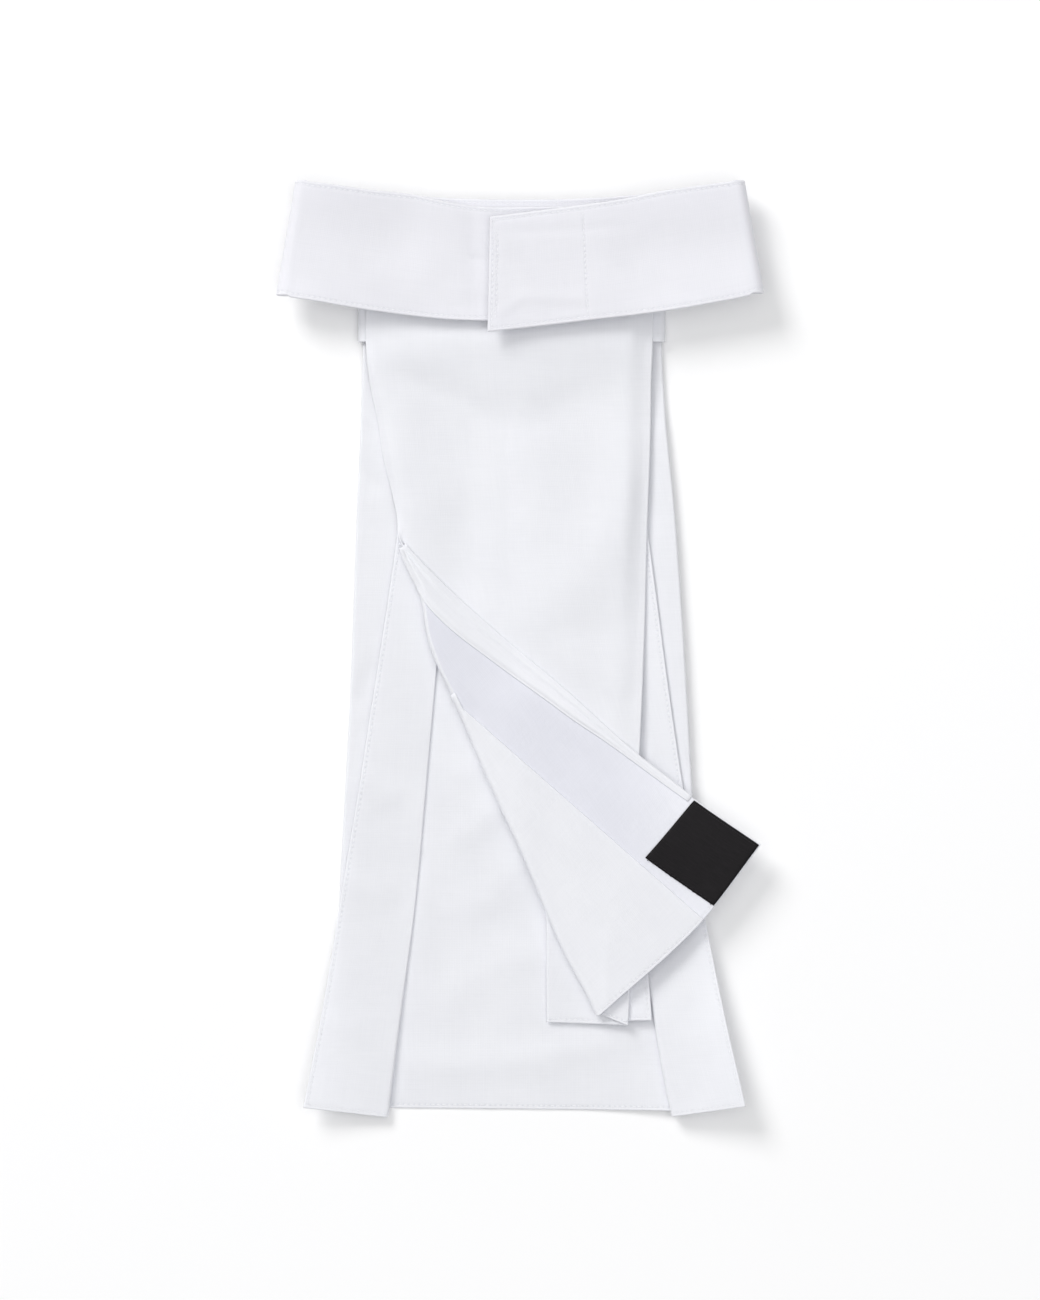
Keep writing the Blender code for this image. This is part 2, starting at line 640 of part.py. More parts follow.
def wall(name, grid, thickness, mat, closed=False):
    """One closed body from a grid of middle points."""
    rows, columns = len(grid), len(grid[0])
    up, down = wall_sides(grid, thickness, closed)
    size = rows * columns
    loops = columns if closed else columns - 1
    faces = []
    for i in range(rows - 1):
        for j in range(loops):
            a, b = i * columns + j, i * columns + (j + 1) % columns
            c, d = b + columns, a + columns
            faces.append((a, b, c, d))
            faces.append((size + d, size + c, size + b, size + a))
    for j in range(loops):
        a, b = j, (j + 1) % columns
        faces.append((size + a, size + b, b, a))
        a, b = a + (rows - 1) * columns, b + (rows - 1) * columns
        faces.append((a, b, size + b, size + a))
    if not closed:
        for i in range(rows - 1):
            a, d = i * columns, (i + 1) * columns
            faces.append((a, d, size + d, size + a))
            b, c = a + columns - 1, d + columns - 1
            faces.append((c, b, size + b, size + c))
    mesh = bpy.data.meshes.new(name)
    mesh.from_pydata([tuple(p) for p in up + down], [], faces)
    turn_faces_out(mesh)
    mesh.shade_smooth()
    mesh.set_sharp_from_angle(angle=math.radians(50))
    mesh.materials.append(mat)
    obj = bpy.data.objects.new(name, mesh)
    bpy.context.scene.collection.objects.link(obj)
    return obj


def turn_faces_out(mesh):
    mesh.calc_loop_triangles()
    corners = np.array([[mesh.vertices[v].co for v in tri.vertices] for tri in mesh.loop_triangles])
    if np.einsum("ij,ij->i", corners[:, 0], np.cross(corners[:, 1], corners[:, 2])).sum() < 0:
        mesh.flip_normals()


def build():
    clear_scene()
    cotton = material("white_cotton", WHITE_COTTON, 0.75)
    stiff_cotton = material("white_cotton_stiffened", WHITE_COTTON, 0.70)
    tape = material("white_closure_tape", WHITE_TAPE, 0.85)
    label = material("black_woven_label", BLACK_WEAVE, 0.60)
    wall("rear_tail", risen(rear_tail_grid()), CLOTH, cotton)
    wall("keeper_sleeve", sleeve_grid(), CLOTH, cotton, closed=True)
    wall("front_tail", risen(front_tail_grid()), CLOTH, cotton)
    wall("front_tail_facing", risen(facing_grid()), CLOTH, cotton)
    wall("front_tail_rolled_edge", risen(rolled_edge_grid()), CLOTH, cotton)
    wall("woven_label", risen(label_grid()), CLOTH, label)
    wall("neck_band", neck_band_grid(), BAND_WALL, stiff_cotton)
    wall("loop_tape", tape_grid(LOOP_TAPE_Z - BAND_SAG), TAPE_WALL, tape)
    wall("hook_tape", tape_grid(HOOK_TAPE_Z - BAND_SAG), TAPE_WALL, tape)


build()
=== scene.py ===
"""Looks of a white cotton stock tie, laid flat with its stiffened neck band closed.

Each cloth is a thin shell on a grid of points along its middle: rows run down the tail and columns run across it.
Its seams are lines on that grid, where the shell is drawn in and a row of stitches lies.
"""

import math

import bpy
import numpy as np
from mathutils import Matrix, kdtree


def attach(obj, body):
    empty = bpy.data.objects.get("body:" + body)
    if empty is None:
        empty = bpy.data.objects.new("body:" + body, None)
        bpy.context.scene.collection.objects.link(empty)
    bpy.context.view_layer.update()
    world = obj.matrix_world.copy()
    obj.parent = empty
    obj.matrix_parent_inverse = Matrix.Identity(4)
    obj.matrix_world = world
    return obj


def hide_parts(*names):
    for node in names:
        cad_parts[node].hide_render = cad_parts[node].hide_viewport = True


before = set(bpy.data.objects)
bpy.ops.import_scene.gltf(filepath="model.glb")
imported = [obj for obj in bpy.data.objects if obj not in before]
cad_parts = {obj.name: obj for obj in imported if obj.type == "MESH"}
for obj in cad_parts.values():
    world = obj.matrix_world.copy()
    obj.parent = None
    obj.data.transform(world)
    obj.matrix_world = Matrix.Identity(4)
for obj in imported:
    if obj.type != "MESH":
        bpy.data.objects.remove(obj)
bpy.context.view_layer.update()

MM = 0.001

# Photograph and camera.
PHOTO_HEIGHT = 1300
PIXEL = 0.407 * MM  # of the photograph, on the tie
CAMERA_HEIGHT = 3.0
SENSOR = 36.0

# Cloths, in metres.
POPLIN = 0.00055  # two plies of poplin, turned out and edge stitched
STIFF_POPLIN = 0.00095  # two plies with a stiff interlining
LABEL_CLOTH = 0.00050
FRAME_CLOTH = 0.0010  # wall of the frame's cloth, whose middles the shells keep
FRAME_SEAM = 0.0003
FRAME_BAND = 0.0012
FRAME_TAPE = 0.0010
LAYER = 0.0014  # from the middle of one folded layer to the middle of the next
FACING_RISE = 0.00072  # from the middle of the turned corner to the middle of what is sewn on it
ROLLED_RISE = 0.00064
SEWN_EDGE_DROP = 0.12 * MM  # the stitched edges of the facing and the label lie this much lower
STEP = 1.7 * MM  # between the rows and columns of a shell
EDGE_STEPS = np.array((0.0, 0.35, 0.8, 1.2, 1.6, 2.1, 2.9)) * MM  # finer columns beside a stitched edge
STITCH_COLUMN = 3  # the place in EDGE_STEPS of the distance from an edge to its stitches
ROLL_STEPS = 8  # columns round a fold
FOLD_PINCH = 0.7 * MM  # a pressed fold's upper layer comes down this much at its edge
FOLD_SETTLE = 0.8 * MM  # and both of its layers settle this much towards what they lie on
EDGE_SETTLE = 0.7 * MM  # the turned corner's upper edge settles this much onto the front tail
FOLD_SINK = 0.6 * MM  # and its fold sinks this much where it crosses the hollow between the rear side panels
EDGE_REST = 0.45 * MM  # the front tail's left edge rests this much lower than the cloth beside it
DRAPE = 1.35 * MM  # the front tail's left side falls this much past the rear side panel's hem

# Sizes that the shells share with the frame, in metres.
REAR_HEM_Y = -0.1866
FRONT_HEM_Y = -0.1519
TAIL_TOP_Y = 0.1620
APEX_Y = 0.0466
HEM_LIFT = 0.0060
FLAP_PUFF = 0.0010
TIP_LIFT = 0.0006
VALLEY_DEPTH = 0.0020
HEM_SINK = 0.0009
UNPLEATED_SETTLE = 1.6 * MM  # the front tail's right edge settles where the pleat doesn't fill it
UNPLEATED_WIDTH = (0.003, 0.009)
LEAST_SETTLE = 0.2 * MM
PLEAT_PRESS = 0.6 * MM  # the pleat's two layers lie this much closer at the hem
SLEEVE_TOP_Y = 0.1570
SLEEVE_HEM_Y = 0.1254
SLEEVE_LEFT_X = -0.0659
SLEEVE_RIGHT_X = 0.0591
LABEL_WIDTH = 0.0316
LABEL_DEPTH = 0.0303
LABEL_MARGIN = 0.45 * MM  # from the turned corner's edges
LABEL_GRID = (28, 26)  # rows and columns of its shell
TAPE_GRID = (34, 40)
TAPE_LEFT_X = -0.0110
TAPE_RIGHT_X = 0.0280
TAPE_LOW_Y = 0.1375
TAPE_HIGH_Y = 0.1705
TAPE_BASE = 0.00045  # the tapes' woven ground; their loops and hooks fill the rest of the frame's wall
NECK_HOLLOW = 0.0052
BAND_SAG = 0.0044
EDGE_RISE = 0.0050  # the tails' right edges stand this much off the surface
WING_PUFF = 0.0017

# Rear tail, in millimetres: the side panels' hems and inner folds, and the tail's edges, at each y.
REAR_COLUMNS = ("y", "hem_l", "fold_l", "edge_l", "edge_r", "fold_r", "hem_r")
REAR_ROWS = (
    (162, -36.5, -17, -63.9, 57.5, 2, 38), (141, -38, -18.3, -63.9, 57.5, 4.2, 39.8),
    (124.7, -39.5, -19.5, -63.9, 57.6, 5.7, 41.1), (109, -41.5, -21.2, -64.3, 58.3, 8.4, 43.3),
    (93.4, -43.6, -23, -64.7, 59.3, 11.2, 45.5), (60.8, -47.8, -26.6, -66.2, 62.5, 17, 50),
    (20.1, -53.5, -31.2, -67.6, 65.5, 24, 55.4), (-20.6, -59.8, -35, -69.2, 68, 31.2, 60.8),
    (-57.2, -65.5, -38.3, -71.1, 70, 37.8, 66.3), (-84, -69.9, -40.6, -72.6, 71.6, 42.6, 71),
    (-107.2, -73.7, -43, -73.7, 72.9, 46.8, 74.8), (-128, -77, -45.7, -74.6, 73.8, 50.6, 78.7),
    (-145.5, -80, -48, -75.4, 74.6, 53.6, 82.3), (-166, -83.8, -50.7, -76.4, 75.6, 57, 86.7),
    (-186.6, -87.7, -53.5, -77.3, 76.5, 61.5, 91.2),
)
REAR_HEM_OFF = np.array((1, -3.1, 0.8, -0.7, -2.6, 1.8)) * MM

# Front tail, in millimetres: its right edge, its left outline, and the fold and hem of the pleat under its right side.
FRONT_COLUMNS = ("y", "right", "left", "pleat_fold", "pleat_hem")
FRONT_ROWS = (
    (162, 54.1, -62.3, 14, 31), (141, 54, -62.4, 13.5, 32.5), (124.7, 53.9, -62.4, 13, 34),
    (109, 53.3, -60.9, 12.6, 35), (93.4, 53.1, -57.8, 12.3, 36), (77, 52.7, -55.2, 12, 37),
    (63, 52.2, -51.6, 11.9, 38), (53, 51.8, -49.7, 11.8, 38.6), (47.5, 51.6, -49.4, 11.8, 39),
    (43.5, 51.5, -48.8, 11.8, 39.2), (38.5, 51.4, -47.6, 11.7, 39.5), (30.4, 51.2, -44.2, 11.6, 40),
    (25.4, 51.1, -41.7, 11.6, 40.4), (20.1, 51, -40.1, 11.5, 40.8), (5, 50.5, -37.3, 11.4, 41.8),
    (-12, 49.9, -31.1, 11.2, 43), (-28, 49.2, -23.7, 11.1, 44.2), (-45, 48.4, -16.4, 11, 45.4),
    (-62, 47.7, -8.9, 10.9, 46.7), (-80, 47, -0.6, 10.8, 48.2), (-98, 46.2, 6.9, 10.7, 49.6),
    (-115, 45.4, 14, 10.7, 50.8), (-130, 44.9, 20.6, 10.7, 51.8), (-142, 44.4, 26.5, 10.8, 52.7),
    (-151.9, 44, 30.9, 10.9, 53.3),
)
FRONT_HEM_OFF = np.array((-0.3, 3.3, 0.7, 1.7)) * MM
# Above the apex the left edge is a soft lip that starts to turn: angle in degrees, width in millimetres.
LIP_COLUMNS = ("y", "turn", "width")
LIP_ROWS = (
    (162, 0, 3), (122, 0, 3), (104, -10, 3), (60, -10, 3), (51, 0, 2.6), (46.5, 40, 2.2), (43, 110, 2.6),
    (39, 180, 4),
)
UPPER_EDGE = (
    (-49.2, 47), (-46.2, 41.4), (-40.4, 34.9), (-32.8, 27.2), (-20.5, 15.9), (-7.3, 4.3), (16.1, -15.1),
    (48.8, -44.2), (73, -62.3), (97.3, -78.9),
)
FACING_EDGE = ((-29.4, -18.5), (73.3, -108.5))
TURNED_HEM = ((30.9, -148.6), (73.6, -109.3), (97.3, -78.9))
ROLLED_COLUMNS = ("y", "width")
ROLLED_ROWS = (
    (41.5, 1), (39.5, 2.3), (36, 4.2), (28, 6.4), (20.5, 8.5), (12, 9.4), (4, 9.8), (-5, 9.5), (-13.2, 8.8),
    (-28.7, 7.8), (-43.6, 6.8), (-59.1, 5.4), (-75, 3), (-87.4, 1.8), (-100, 1.4), (-117, 1.2),
)
# Its section: heights in millimetres, at shares of its width; before it, at millimetres from it; and past it.
ROLLED_PROFILE = (
    (0, 0.10), (0.05, 0.34), (0.11, 0.56), (0.18, 0.66), (0.26, 0.56), (0.36, 0.30), (0.48, 0.03), (0.6, -0.03),
    (0.70, 0.14), (0.77, 0.44), (0.84, 0.34), (0.92, 0.12), (1, -0.03),
)
ROLLED_Y = (0.0414, -0.1170)
ROLLED_STEP = 1.2 * MM
ROLLED_OUTLINE_Y = (0.0200, 0.0255)  # above it the lip is the tie's outline
ROLLED_LIFT = 1.2 * MM  # of the lip, between the two
ROLLED_TOP_RISE = 0.14 * MM
ROLLED_TOP_Y = (0.006, 0.014)
ROLLED_LIP = ((0.9, 0.05), (0.6, 0.03), (0.3, 0.01))
ROLLED_SLOPE = ((0.35, 0.06), (0.8, 0.26), (1, 0.46))

# Neck band, in millimetres: the lower and upper edges of its left end, right end and throat at each x.
BAND_TAPER = 0.921
BAND_COLUMNS = ("x", "low", "high")
LEFT_END = (
    (38, 137.2, 180.2), (20, 135.2, 179.4), (0, 134, 179.1), (-14, 133.8, 179.1), (-33, 134.6, 181.4),
    (-46, 136, 184), (-65.9, 138.7, 186), (-84, 141.7, 188.3), (-96, 143.5, 189.6),
)
RIGHT_END = (
    (-12.8, 129.1, 175), (7, 131.3, 177.3), (30.5, 134.1, 180.1), (48, 136.1, 182.6), (62, 138, 185.3),
    (77.2, 140.6, 187.4), (88.8, 142.8, 188.8), (96, 144.4, 189.6),
)
THROAT = (
    (-96, 144.6, 189.6), (-80, 142.6, 187.3), (-65, 140.5, 185.5), (-35, 137.8, 183.1), (0, 136.9, 182.3),
    (35, 137.8, 183.1), (65, 140.5, 185.5), (80, 142.6, 187.3), (96, 144.9, 189.6),
)
BAND_END_X = 98.9 * MM
BEND_START_X = 92.6 * MM  # where each folded end starts to turn
TAPE_SEAM_X = 27.5 * MM  # the far row of the closure's stitches
TAPE_SEAM_CLEAR = 2.4 * MM  # the band's even columns stop this far from it, and finer ones take over
TAPE_SEAM_STEPS = np.array((1.2, 0.8, 0.4, 0, -0.4, -0.8, -1.2)) * MM
TAPE_SEAM_COLUMN = 3  # the place of the seam itself in them
LEFT_END_X = 0.038
RIGHT_END_X = -0.0128
RIGHT_END_STEPS = np.array((3.4, 3, 2.6, 2.1, 1.6, 1.2, 0.8, 0.35, 0)) * MM
BAND_STEP = 1.5 * MM
BAND_HOLLOW = 0.5 * MM  # the band's edges curl up this much
BAND_TILT = 0.35 * MM  # and its wings tilt this much, either way
BAND_DROOP = (0.3 * MM, 0.6 * MM)  # its right end's and left end's lower edges droop over the tails
BAND_LOW_Y = (0.1439, 0.1448)  # the lower corners of its folded ends, left and right
BAND_HIGH_Y = 0.1898
BEND_REACH = 4.5 * MM  # a folded end is no deeper than this, along x

# Creases, in millimetres: a soft ridge, or a trough where rise is below 0, from one point to the other.
# bow is how far its middle stands off the straight line, and width is from its crest to its foot.
# Each row: x0, y0, x1, y1, bow, width, rise.
REAR_CREASES = (
    (-69, 100, -60, 92, 0, 1.6, 0.45), (-70, 79, -57, 66, 1, 3, -0.45), (-70, -24, -60, -6, 1.5, 3.5, -0.45),
    (-64, -50, -52, -62, 1, 6, 0.50), (-75, -92, -52, -98, 2, 6, 0.40), (-84, -152, -60, -158, -1.5, 7, 0.40),
    (-39, -92, -36, -132, 2, 5, 0.55), (-26, -78, -4, -56, 1.5, 6, 0.80), (-26, -52, -14, -44, 1, 5, 0.45),
    (-20, -108, 0, -82, 2, 7, 0.80), (-44, -168, 46, -156, 5, 7, 0.90), (-34, -144, 16, -122, -4, 9, 0.70),
    (57, 20, 62, -8, 1, 3, 0.30), (62, -108, 80, -126, 2, 6, 0.45), (66, -160, 88, -148, 1, 6, 0.45),
)
FRONT_CREASES = (
    (-46, 127, 46, 127, 0, 8, 1.70), (-56, 108, -44, 44, 1, 14, 1.20), (-20, 92, -22, 22, 1, 10, -0.75),
    (-22, 60, -23, 22, 0, 10, -1.30), (54, 76, 8, 14, -4, 14, 1.90), (14, 8, 46, 10, 2, 7, -0.35),
    (-40, 37, 20, -17, 1, 8, -0.75), (-52, 112, -4, 91, -2, 6, -0.60), (0, 90, 38, 106, -2, 8, -0.80),
    (-52, 122, -16, 118, 2, 6, 0.40), (40, 60, 46, 44, 1, 3, -0.18), (18, 2, 46, -16, 3, 8, 0.60),
    (17, -112, 30, -146, 0.6, 2.4, 0.35), (36, -118, 35, -150, 0.3, 1.5, 0.35),
)
TURNED_CREASES = (
    (-30, -2, -6, -16, 1, 7, -0.60), (-33, 2, 12, -36, 1, 9, 0.80), (6, -24, 38, -52, 2, 6, -0.60),
    (46, -56, 68, -86, 1.5, 8, 0.80), (-12, -38, 24, -84, 3, 8, 0.70), (6, -76, 24, -122, 2, 6, -0.35),
    (16, -124, 30, -147, 0.5, 1.8, 0.40), (24, -128, 32, -147, -0.6, 1.8, -0.35), (44, -84, 66, -110, 2, 8, 0.35),
)
BAND_CREASES = (
    (-94, 170, -44, 168, 1, 14, -1.10), (-72, 160, -56, 150, 2, 6, 0.25), (-19, 184, -18, 132, 0.5, 3.5, -0.40),
    (-20, 158.6, -14, 157.8, 0, 1.6, -0.45), (-36, 152, -18, 137, 1.5, 6, -0.45), (44, 162, 96, 162, -1, 14, -1.60),
    (54, 150, 74, 143, 1, 5, -0.40), (-8, 169.6, 40, 171.4, 0.5, 1.6, -0.35), (-11, 136, 1, 143.4, 1, 1.6, 0.35),
    (0, 143.2, 28, 142.4, 0.3, 2, 0.35), (-6, 160, 24, 150, 1, 11, -0.35),
)

# Where a change of height starts and where it is full, in metres: along y, along x, or from an edge or a fold.
REAR_ON_SLEEVE_Y = (0.095, 0.119)
FRONT_ON_SLEEVE_Y = (0.090, 0.121)
PANELS_LIFT_Y = (-0.100, REAR_HEM_Y)
HEM_SINK_Y = (-0.090, -0.130)
VALLEY_SIDE = (0.003, 0.034)  # inwards from the rear tail's inner folds
FULL_FOLD_Y = (0.047, 0.024)
PRESSED_FOLD_Y = (-0.080, -0.140)
FOLD_SIDE = (0.0, 0.018)  # from the turned corner's fold
EDGE_SIDE = (0.012, 0.0)  # from the turned corner's upper edge
TIP_X = (0.048, 0.098)
SINK_SIDE = (0.012, 0.0)  # from the turned corner's fold
SINK_TOP_Y = (0.0, -0.030)
SINK_END_Y = (-0.115, -0.095)
STAND_OFF_X = (0.022, 0.100)
STAND_OFF_Y = (0.115, 0.085)
DRAPE_SIDE = (0.006, 0.0)  # from the front tail's left edge
DRAPE_PAST_HEM = (0.0, 0.010)
DRAPE_Y = (0.120, 0.104)
REST_SIDE = (0.003, 0.0)  # from the front tail's left edge
CREASED_SIDE = (-0.001, 0.007)
PAINTED_SHADE_Y = (0.046, 0.030)  # painted shade on the turned corner starts here
# Along x, the turned corner's painted shade fades out towards its tip.
PAINTED_SHADE_FADE_X = (0.030, 0.075)
TURNING_Y = (0.0465, 0.0385)  # the lip above becomes the turned corner below
PLEAT_PRESS_Y = (-0.100, -0.145)
WING_X = (0.066, 0.092)
SAG_X = (0.090, 0.044)
# The cloth's unevenness, as waves: how many in a metre of x, and of y, and their phase.
RIPPLES = ((31, 12, 0.3), (17, -23, 1.1), (-44, 9, 2.0), (8, 51, 4.1), (63, 37, 5.2))


def ease(start, end, value):
    """0 at start, 1 at end, with a soft beginning and end."""
    t = np.clip((value - start) / (end - start), 0.0, 1.0)
    return t * t * (3 - 2 * t)


def read_smoothly(knots, values, at):
    """The cubic through the knots next to each place, with slopes taken from their neighbours."""
    slope = np.gradient(values, knots)
    i = np.clip(np.searchsorted(knots, at) - 1, 0, len(knots) - 2)
    width = knots[i + 1] - knots[i]
    t = (at - knots[i]) / width
    return (
        values[i] * (1 + 2 * t) * (1 - t) ** 2
        + values[i + 1] * t * t * (3 - 2 * t)
        + width * slope[i] * t * (1 - t) ** 2
        - width * slope[i + 1] * t * t * (1 - t)
    )


class Lines:
    """A table of lines, each read smoothly between its rows; lengths leave in metres."""

    def __init__(self, columns, rows):
        rows = sorted(rows)
        self.at = np.array([row[0] for row in rows]) * MM
        self.values = {name: np.array([row[i + 1] for row in rows]) * MM for i, name in enumerate(columns[1:])}

    def read(self, name, at):
        return read_smoothly(self.at, self.values[name], np.asarray(at, float))


class Path:
    """A chain of points in the XY plane, read by its share of the length."""

    def __init__(self, points):
        self.points = np.array(points) * MM
        steps = np.linalg.norm(np.diff(self.points, axis=0), axis=1)
        self.along = np.concatenate([[0], np.cumsum(steps)])
        self.length = self.along[-1]

    def read(self, share):
        at = np.clip(share, 0.0, 1.0) * self.length
        return np.stack([read_smoothly(self.along, self.points[:, k], at) for k in (0, 1)], axis=-1)


REAR = Lines(REAR_COLUMNS, REAR_ROWS)
FRONT = Lines(FRONT_COLUMNS, FRONT_ROWS)
LIP = Lines(LIP_COLUMNS, LIP_ROWS)
ROLLED = Lines(ROLLED_COLUMNS, ROLLED_ROWS)
UPPER = Path(UPPER_EDGE)
HEM = Path(TURNED_HEM)


# Shares and places along a run of cloth.
def shares(length, width_now, start_edge=False, end_edge=False):
    """Shares from 0 to 1 for each row, as many as the longest row needs, with fine steps beside a stitched edge."""
    width_now = np.asarray(width_now, float)[:, None]
    first = EDGE_STEPS if start_edge else np.zeros(1)
    last = EDGE_STEPS if end_edge else np.zeros(1)
    inner = length - first[-1] - last[-1]
    count = max(2, int(round(inner / STEP)))
    middle = np.linspace(0, 1, count + 1)[1:-1]
    a = first / width_now
    b = 1 - last[::-1] / width_now
    mid = a[:, -1:] + (b[:, :1] - a[:, -1:]) * middle
    return np.concatenate([a, mid, b], axis=1)


def with_height(xy, z):
    return np.concatenate([xy, z[..., None]], axis=-1)


def run(start, end, parts):
    """Points from start to end, each (rows, 3), at each row's shares."""
    return start[:, None] + (end - start)[:, None] * parts[..., None]


def span(start, end, **edges):
    """Points from start to end on every row, as many as the widest row needs."""
    width = width_of(start, end)
    return run(start, end, shares(width.max(), width, **edges))


def row_places(top, hem):
    """The y of each row from the top to the hem, with fine steps beside the hem."""
    body = np.arange(top, hem + EDGE_STEPS[-1] + STEP / 2, -STEP)
    return np.concatenate([body, hem + EDGE_STEPS[::-1]])


def crease_rise(x, y, rows):
    """How far the creases of a table lift the cloth at each place."""
    total = np.zeros(np.shape(x))
    for row in rows:
        x0, y0, x1, y1, bow, width, rise = (value * MM for value in row)
        dx, dy = x1 - x0, y1 - y0
        length = math.hypot(dx, dy)
        t = ((x - x0) * dx + (y - y0) * dy) / length**2
        side = ((x - x0) * dy - (y - y0) * dx) / length - bow * 4 * t * (1 - t)
        fade = ease(-0.25, 0.25, t) * ease(1.25, 0.75, t)
        total = total + rise * np.exp(-((side / width) ** 2)) * fade
    return total


def ripple(x, y, height):
    """A slight unevenness of cloth that was pressed and handled."""
    return height * sum(np.sin(2 * math.pi * (a * x + b * y) + c) for a, b, c in RIPPLES) / len(RIPPLES)


# Heights of the middle of each layer.
SLEEVE_STEP = FRAME_CLOTH + FRAME_SEAM


def rear_base(y):
    return FRAME_CLOTH / 2 + SLEEVE_STEP * ease(*REAR_ON_SLEEVE_Y, y)


def rear_side_lift(y, share):
    """How far a side panel stands off its layer; share runs from its inner fold, 0, to its hem, 1."""
    return HEM_LIFT * ease(*PANELS_LIFT_Y, y) ** 1.5 * (0.35 + 0.65 * share)


def front_base(x, y):
    """Middle of the front tail's lowest layer, which lies on the rear side panels and sinks between them."""
    on_rear = FRAME_CLOTH / 2 + 2 * LAYER + SLEEVE_STEP
    near_sleeve = ease(*FRONT_ON_SLEEVE_Y, y)
    inside = np.minimum(x - REAR.read("fold_l", y), REAR.read("fold_r", y) - x)
    sink = (VALLEY_DEPTH + HEM_SINK * ease(*HEM_SINK_Y, y)) * (1 - near_sleeve)
    return on_rear + 2 * SLEEVE_STEP * near_sleeve - sink * ease(*VALLEY_SIDE, inside)


def front_height(x, y):
    """Middle of the front tail's upper layer, over the two layers of the pleat under its right side."""
    pleat_left = FRONT.read("pleat_fold", y)
    return front_base(x, y) + 2 * LAYER * ease(pleat_left - VALLEY_SIDE[1], pleat_left - VALLEY_SIDE[0], x)


def flap_puff(y):
    """How much fuller than its layers the turned corner's fold is: flat at the apex, and pressed towards the hem."""
    return FLAP_PUFF * ease(*FULL_FOLD_Y, y) * (1 - 0.6 * ease(*PRESSED_FOLD_Y, y))


def fold_sink(y, from_fold):
    """How far the turned corner's fold sinks into the hollow that it crosses."""
    return FOLD_SINK * ease(*SINK_TOP_Y, y) * ease(*SINK_END_Y, y) * ease(*SINK_SIDE, from_fold)


def flap_height(x, y, from_fold, from_edge):
    """Middle of the turned corner, on the front tail: full at its fold, close at its upper edge, rising at its tip."""
    puff = flap_puff(y) * (1 - ease(*FOLD_SIDE, from_fold)) - EDGE_SETTLE * ease(*EDGE_SIDE, from_edge)
    creases = crease_rise(x, y, FRONT_CREASES) + crease_rise(x, y, TURNED_CREASES)
    return front_height(x, y) + LAYER + puff - fold_sink(y, from_fold) + TIP_LIFT * ease(*TIP_X, x) + creases


def risen(points):
    """A tail's piece, which stands off the surface towards its right edge."""
    x, y = points[..., 0], points[..., 1]
    points[..., 2] += EDGE_RISE * ease(*STAND_OFF_X, x) * ease(*STAND_OFF_Y, y)
    return points


def drape(x, y, from_left):
    """How far the front tail's left side falls past the hem of the rear side panel under it, most of it at its edge."""
    past_hem = REAR.read("hem_l", y) - x
    at_edge = 0.3 + 0.7 * ease(*DRAPE_SIDE, from_left)
    return DRAPE * at_edge * ease(*DRAPE_PAST_HEM, past_hem) * ease(*DRAPE_Y, y)


def front_face(x, y):
    """The front tail's upper layer with its creases, at rest on the rear tail along its left edge."""
    from_left = x - FRONT.read("left", y)
    uneven = crease_rise(x, y, FRONT_CREASES) + ripple(x, y, 0.00010)
    rest = EDGE_REST * ease(*REST_SIDE, from_left) + fold_sink(y, from_left)
    return front_height(x, y) + uneven * ease(*CREASED_SIDE, from_left) - rest - drape(x, y, from_left)


# Rear tail: left side panel, return, centre, return, right side panel.
def fold(edge, y, low, high, side, upwards):
    """The half round of a fold whose outermost x is edge, between the middles low and high of its two layers."""
    radius = ((high - low) / 2)[:, None]
    centre = edge[:, None] - side * (radius + POPLIN / 2)
    angles = np.linspace(-0.5, 0.5, ROLL_STEPS + 1) * math.pi
    x = centre + side * radius * np.cos(angles)
    z = ((low + high) / 2)[:, None] + radius * np.sin(angles)
    points = np.stack([x, np.broadcast_to(y[:, None], x.shape), z], axis=-1)
    return points if upwards else points[:, ::-1]


def column(x, y, z):
    return np.stack(np.broadcast_arrays(x, y, z), axis=-1)


def width_of(a, b):
    return np.linalg.norm(a - b, axis=-1)


def rear_tail_points():
    y = row_places(TAIL_TOP_Y, REAR_HEM_Y)
    hem_share = ease(-0.150, REAR_HEM_Y, y)
    hem_l, fold_l, edge_l, edge_r, fold_r, hem_r = (REAR.read(name, y) for name in REAR_COLUMNS[1:])
    ends = [y + off * hem_share for off in REAR_HEM_OFF]
    low = rear_base(y)
    lift = rear_side_lift(y, 0.0)
    top = low + 2 * LAYER
    left_hem = column(hem_l, ends[0], top + rear_side_lift(y, 1.0))
    right_hem = column(hem_r, ends[5], top + rear_side_lift(y, 1.0))
    fold_low, fold_high = low + LAYER - FOLD_SETTLE, top + lift - FOLD_PINCH - FOLD_SETTLE
    left_inner = fold(fold_l, ends[1], fold_low, fold_high, 1, False)
    left_edge = fold(edge_l, ends[2], low, low + LAYER, -1, False)
    right_edge = fold(edge_r, ends[3], low, low + LAYER, 1, True)
    right_inner = fold(fold_r, ends[4], fold_low, fold_high, -1, True)
    parts = [span(left_hem, left_inner[:, 0], start_edge=True)[:, :-1], left_inner]
    for a, b in ((left_inner, left_edge), (left_edge, right_edge), (right_edge, right_inner)):
        parts += [span(a[:, -1], b[:, 0])[:, 1:-1], b]
    parts.append(span(right_inner[:, -1], right_hem, end_edge=True)[:, 1:])
    points = np.concatenate(parts, axis=1)
    x, yy = points[..., 0], points[..., 1]
    above_floor = ease(0.3 * MM, 1.6 * MM, points[..., 2])
    rise = crease_rise(x, yy, REAR_CREASES) + ripple(x, yy, 0.00012)
    points[..., 2] += np.where(rise < 0, rise * (0.35 + 0.65 * above_floor), rise)
    return points


